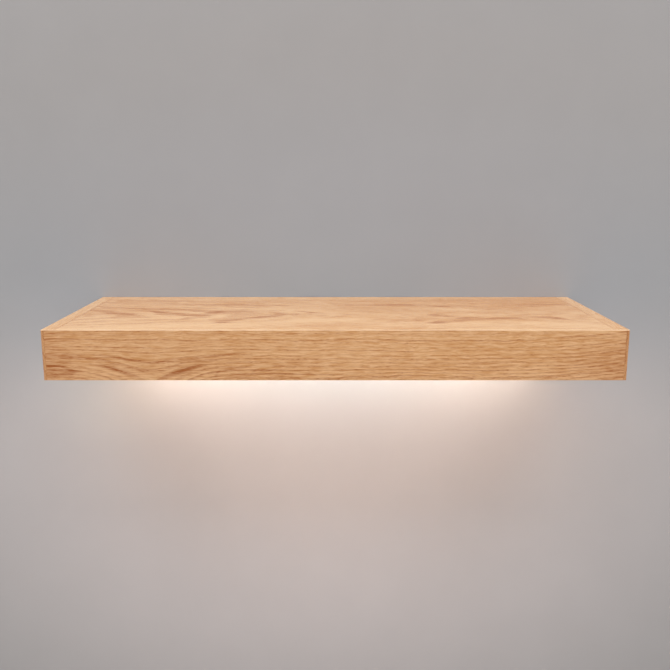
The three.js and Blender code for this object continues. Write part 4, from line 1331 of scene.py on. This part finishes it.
class ShelfInlet(Operator):
    """Makes the low-voltage inlet in the rear rail, with its pin and its solder tags"""

    bl_idname = "shelf.power_inlet"
    bl_label = "Power inlet"

    def execute(self, context):
        flats = context.scene.shelf_sizes.flats
        low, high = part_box("power_inlet")
        centre = ((low.x + high.x) / 2, high.y, (low.z + high.z) / 2)
        flange = (high.x - low.x) / 2
        length = high.y - low.y - TAG_LENGTH
        body = INLET_RADIUS
        depth, pitch = INLET_THREAD
        profile = (
            (flange - 0.5 * MM, 0),
            (flange - 0.15 * MM, 0.15 * MM),
            (flange, 0.5 * MM),
            (flange, INLET_FLANGE),
            *thread(body, depth, INLET_FLANGE, length - 0.5 * MM, pitch),
            (body - 0.3 * MM, length - 0.5 * MM),
            (body - 0.6 * MM, length),
        )
        inlet = turned("moulded_power_inlet", profile, flats)
        mouth = INLET_BORE_RADIUS + INLET_MOUTH
        bore = (
            (mouth, -RUN_PAST),
            (mouth, 0),
            (INLET_BORE_RADIUS, INLET_MOUTH),
            (INLET_BORE_RADIUS, INLET_WELL),
        )
        cut(inlet, turned("bore", bore, flats))
        laid(inlet, centre, OUT_OF_WALL)
        material = moulded_plastic("moulded_black_nylon", "1D1D1F", "232325")
        hand_over(inlet, material, "shelf", "black_plastic", "power_inlet")
        profile = (
            (PIN_RADIUS, INLET_WELL + 0.5 * MM),
            (PIN_RADIUS, 1.1 * MM),
            (0.85 * PIN_RADIUS, 0.9 * MM),
            (0.5 * PIN_RADIUS, 0.8 * MM),
        )
        pin = turned("nickel_inlet_pin", profile, PIN_FLATS)
        laid(pin, centre, OUT_OF_WALL)
        nickel = zinc_plated_steel("nickel_plated_brass", (1.2, 0.4, 1.2), "D3CFC4", "BFBAAE")
        hand_over(pin, nickel, "shelf", "zinc_steel")
        for name, up in (("upper", 1), ("lower", -1)):
            x = centre[0]
            z = centre[2] + TAG_OFF_MIDDLE * up
            end = high.y - length
            tip = end - TAG_LENGTH
            blade = block("nickel_inlet_tag_" + name, (x - TAG_HALF_WIDTH, tip, z - TAG_HALF_THICK),
                          (x + TAG_HALF_WIDTH, end + TAG_ROOT, z + TAG_HALF_THICK))
            eye = turned("eye", ((EYE_RADIUS, -RUN_PAST), (EYE_RADIUS, RUN_PAST)), EYE_FLATS)
            cut(blade, laid(eye, (x, end - 0.55 * TAG_LENGTH, z)))
            ease(blade, 0.15 * MM, 2, lambda edge: runs(edge, 2) and middle(edge).y < tip + NEAR)
            hand_over(blade, nickel, "shelf", "zinc_steel")
        dress(nickel, "inlet_nut")
        return {"FINISHED"}


class ShelfInside(Operator):
    """Gives the parts inside the box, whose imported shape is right, their materials"""

    bl_idname = "shelf.inside"
    bl_label = "Parts inside the box"

    def execute(self, context):
        dress(planed_spruce("planed_spruce_rail", 0.0), "rear_rail")
        dress(planed_spruce("planed_spruce_block", math.pi / 2), *both("rod_block_"), "middle_rib")
        dress(beech_dowel(), *[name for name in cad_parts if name.startswith("dowel_")])
        dress(light_board(), "light_strip")
        dress(moulded_plastic("pvc_lead_sleeve", "E6E4DF", "DCDAD4"), "light_lead")
        dress(moulded_plastic("moulded_clip_nylon", "202022", "27272A"), "lead_clip_inner", "lead_clip_outer")
        return {"FINISHED"}


# The stage

PICTURE_WIDTH = 36
LAMP_PLACE = (0, -1.38, 2.72)
LAMP_TILT = math.radians(27)
LAMP_SIZE = (3.2, 2.2)
WALL_SIZE = 6
WALL_MIDDLE = 1.9
FLOOR_SIZE = 8
FLOOR_LEVEL = -1.1
# The heights in millimetres between which the wall's lower lobes of painted light come in
PAINTED_LIGHT_LOBES_START = 150.0
PAINTED_LIGHT_LOBES_FULL = -140.0
# Each lobe is x, z, half width, half height and what it adds to red, green and blue
PAINTED_LIGHT_LOBES = (
    (0, 60, 700, 300, (0.0, 0.1, 0.2)),
    (0, 30, 550, 150, (-0.06, -0.02, 0.0)),
    (-20, -250, 750, 500, (1.0, 0.9, 0.9)),
    (0, -60, 420, 220, (-0.7, -0.5, -0.35)),
    (-300, -100, 120, 100, (0.2, 0.2, 0.15)),
)


def painted_wall_light(tree, place):
    """What the wall's paint is multiplied with: painted light and shade.

    The paint takes back the warm light that the oak throws up. Well below the light and by its left end it
    is painted paler, as painted light where a room would throw more of it back, and right under the light
    one lobe paints it darker again.
    """
    height = add(tree, "SeparateXYZ", {0: place}).outputs["Z"]
    low_part = add(tree, "MapRange", {0: height, 1: PAINTED_LIGHT_LOBES_START, 2: PAINTED_LIGHT_LOBES_FULL},
                   interpolation_type="SMOOTHSTEP")
    total = (1, 1, 1)
    for x, z, half_width, half_height, gain in PAINTED_LIGHT_LOBES:
        spread = (half_width, ENDLESS, half_height)
        zone = add(tree, "Mapping", {"Vector": place, "Location": (x, 0, z), "Scale": spread},
                   vector_type="TEXTURE")
        zone = add(tree, "TexGradient", {0: zone.outputs[0]}, gradient_type="SPHERICAL")
        zone = add(tree, "MapRange", {0: zone.outputs[1]}, interpolation_type="SMOOTHSTEP")
        if z < 0:
            zone = add(tree, "Math", {0: zone.outputs[0], 1: low_part.outputs[0]}, operation="MULTIPLY")
        zone = add(tree, "VectorMath", {0: gain, 3: zone.outputs[0]}, operation="SCALE")
        total = add(tree, "VectorMath", {0: zone.outputs[0], 1: total}, operation="ADD").outputs[0]
    return total


class ShelfStageSet(Operator):
    """Makes the wall, the floor, the soft light and the camera"""

    bl_idname = "shelf.stage"
    bl_label = "Stage"

    def execute(self, context):
        stage = context.scene.shelf_stage
        scene = context.scene
        deselect()
        bpy.ops.object.camera_add(
            location=(stage.camera_side, -stage.camera_out, stage.camera_up),
            rotation=(math.pi / 2 - stage.camera_tilt, 0, 0),
        )
        camera = context.object
        camera.data.sensor_width = PICTURE_WIDTH
        camera.data.lens = stage.camera_lens
        camera.data.clip_start = 0.01
        scene.camera = camera
        scene.view_settings.view_transform = "Standard"

        world = bpy.data.worlds.new("soft_room")
        scene.world = world
        world.use_nodes = True
        world.node_tree.nodes.clear()
        sky = add(world.node_tree, "Background", {"Color": colour("F2F2F2"), "Strength": stage.room})
        add(world.node_tree, "OutputWorld", {"Surface": sky.outputs[0]})

        deselect()
        bpy.ops.object.light_add(type="AREA", location=LAMP_PLACE, rotation=(LAMP_TILT, 0, 0))
        lamp = context.object.data
        lamp.shape = "RECTANGLE"
        lamp.size, lamp.size_y = LAMP_SIZE
        lamp.energy = stage.lamp

        # Painted plaster. It shows from the room only, and where the shelf covers it, it lets light through
        # to the shelf's back, so that the views from behind aren't dark.
        material, tree, shader, place = new_material("painted_plaster")
        cloud = add(tree, "TexNoise", {"Vector": place, "Scale": 0.012, "Detail": 4.0, "Roughness": 0.6})
        level = add(tree, "MapRange", {0: cloud.outputs[0], 1: 0.3, 2: 0.7, 3: 0.985, 4: 1.015})
        tint = add(tree, "VectorMath", {0: stage.wall[:3], 3: level.outputs[0]}, operation="SCALE")
        # Painted light and shade on the wall, from the lobes
        total = painted_wall_light(tree, place)
        tint = add(tree, "VectorMath", {0: total, 1: tint.outputs[0]}, operation="MULTIPLY")
        tree.links.new(tint.outputs[0], shader.inputs["Base Color"])
        shader.inputs["Roughness"].default_value = 0.9
        side = add(tree, "NewGeometry").outputs["Backfacing"]
        seen = add(tree, "LightPath").outputs["Is Camera Ray"]
        part = add(tree, "SeparateXYZ", {0: place})
        inside = None
        for axis, reach in (("X", SHELF_HIGH.x), ("Z", SHELF_HIGH.z)):
            within = add(tree, "Math", {0: part.outputs[axis], 1: 0.0, 2: reach / MM}, operation="COMPARE")
            if inside:
                within = add(tree, "Math", {0: inside, 1: within.outputs[0]}, operation="MULTIPLY")
            inside = within.outputs[0]
        hidden = add(tree, "Math", {0: inside, 1: seen}, operation="SUBTRACT", use_clamp=True)
        clear = add(tree, "Math", {0: hidden.outputs[0], 1: side}, operation="MAXIMUM")
        through = add(tree, "BsdfTransparent")
        mixed = add(tree, "MixShader", {0: clear.outputs[0], 1: shader.outputs[0], 2: through.outputs[0]})
        output = next(node for node in tree.nodes if node.type == "OUTPUT_MATERIAL")
        tree.links.new(mixed.outputs[0], output.inputs["Surface"])
        deselect()
        bpy.ops.mesh.primitive_plane_add(size=WALL_SIZE, rotation=OUT_OF_WALL, location=(0, 0, WALL_MIDDLE))
        wall = settle(context.object)
        wall.name = "stage_wall"
        wall.data.materials.append(material)

        material, tree, shader, place = new_material("pale_floor")
        cloud = add(tree, "TexNoise", {"Vector": place, "Scale": 0.004, "Detail": 3.0})
        level = add(tree, "MapRange", {0: cloud.outputs[0], 3: 0.98, 4: 1.02})
        tint = add(tree, "VectorMath", {0: stage.floor[:3], 3: level.outputs[0]}, operation="SCALE")
        tree.links.new(tint.outputs[0], shader.inputs["Base Color"])
        shader.inputs["Roughness"].default_value = 0.8
        deselect()
        bpy.ops.mesh.primitive_plane_add(size=FLOOR_SIZE, location=(0, 0, FLOOR_LEVEL))
        floor = settle(context.object)
        floor.name = "stage_floor"
        floor.data.materials.append(material)
        return {"FINISHED"}


PIECES = (
    ShelfStageSet,
    ShelfTopBoard,
    ShelfFrontBoard,
    ShelfEndBoards,
    ShelfBottomBoard,
    ShelfLight,
    ShelfChannel,
    ShelfWallPlate,
    ShelfRods,
    ShelfRailScrews,
    ShelfLocks,
    ShelfInlet,
    ShelfInside,
)


class ShelfPanel(Panel):
    """Lists the shelf's pieces, its sizes and its finishes"""

    bl_idname = "VIEW3D_PT_shelf"
    bl_label = "Wall shelf"
    bl_space_type = "VIEW_3D"
    bl_region_type = "UI"
    bl_category = "Shelf"

    def draw(self, context):
        for group in (context.scene.shelf_sizes, context.scene.shelf_finish, context.scene.shelf_stage):
            box = self.layout.box()
            for name in group.__annotations__:
                box.prop(group, name)
        for piece in PIECES:
            self.layout.operator(piece.bl_idname)


GROUPS = (("shelf_sizes", ShelfSizes), ("shelf_finish", ShelfFinish), ("shelf_stage", ShelfStage))


def register():
    for name, group in GROUPS:
        bpy.utils.register_class(group)
        setattr(bpy.types.Scene, name, PointerProperty(type=group))
    for piece in (*PIECES, ShelfPanel):
        bpy.utils.register_class(piece)


def unregister():
    for piece in (ShelfPanel, *reversed(PIECES)):
        bpy.utils.unregister_class(piece)
    for name, group in reversed(GROUPS):
        delattr(bpy.types.Scene, name)
        bpy.utils.unregister_class(group)


def main():
    register()
    for piece in PIECES:
        family, name = piece.bl_idname.split(".")
        getattr(getattr(bpy.ops, family), name)()
    deselect()


if __name__ == "__main__":
    main()
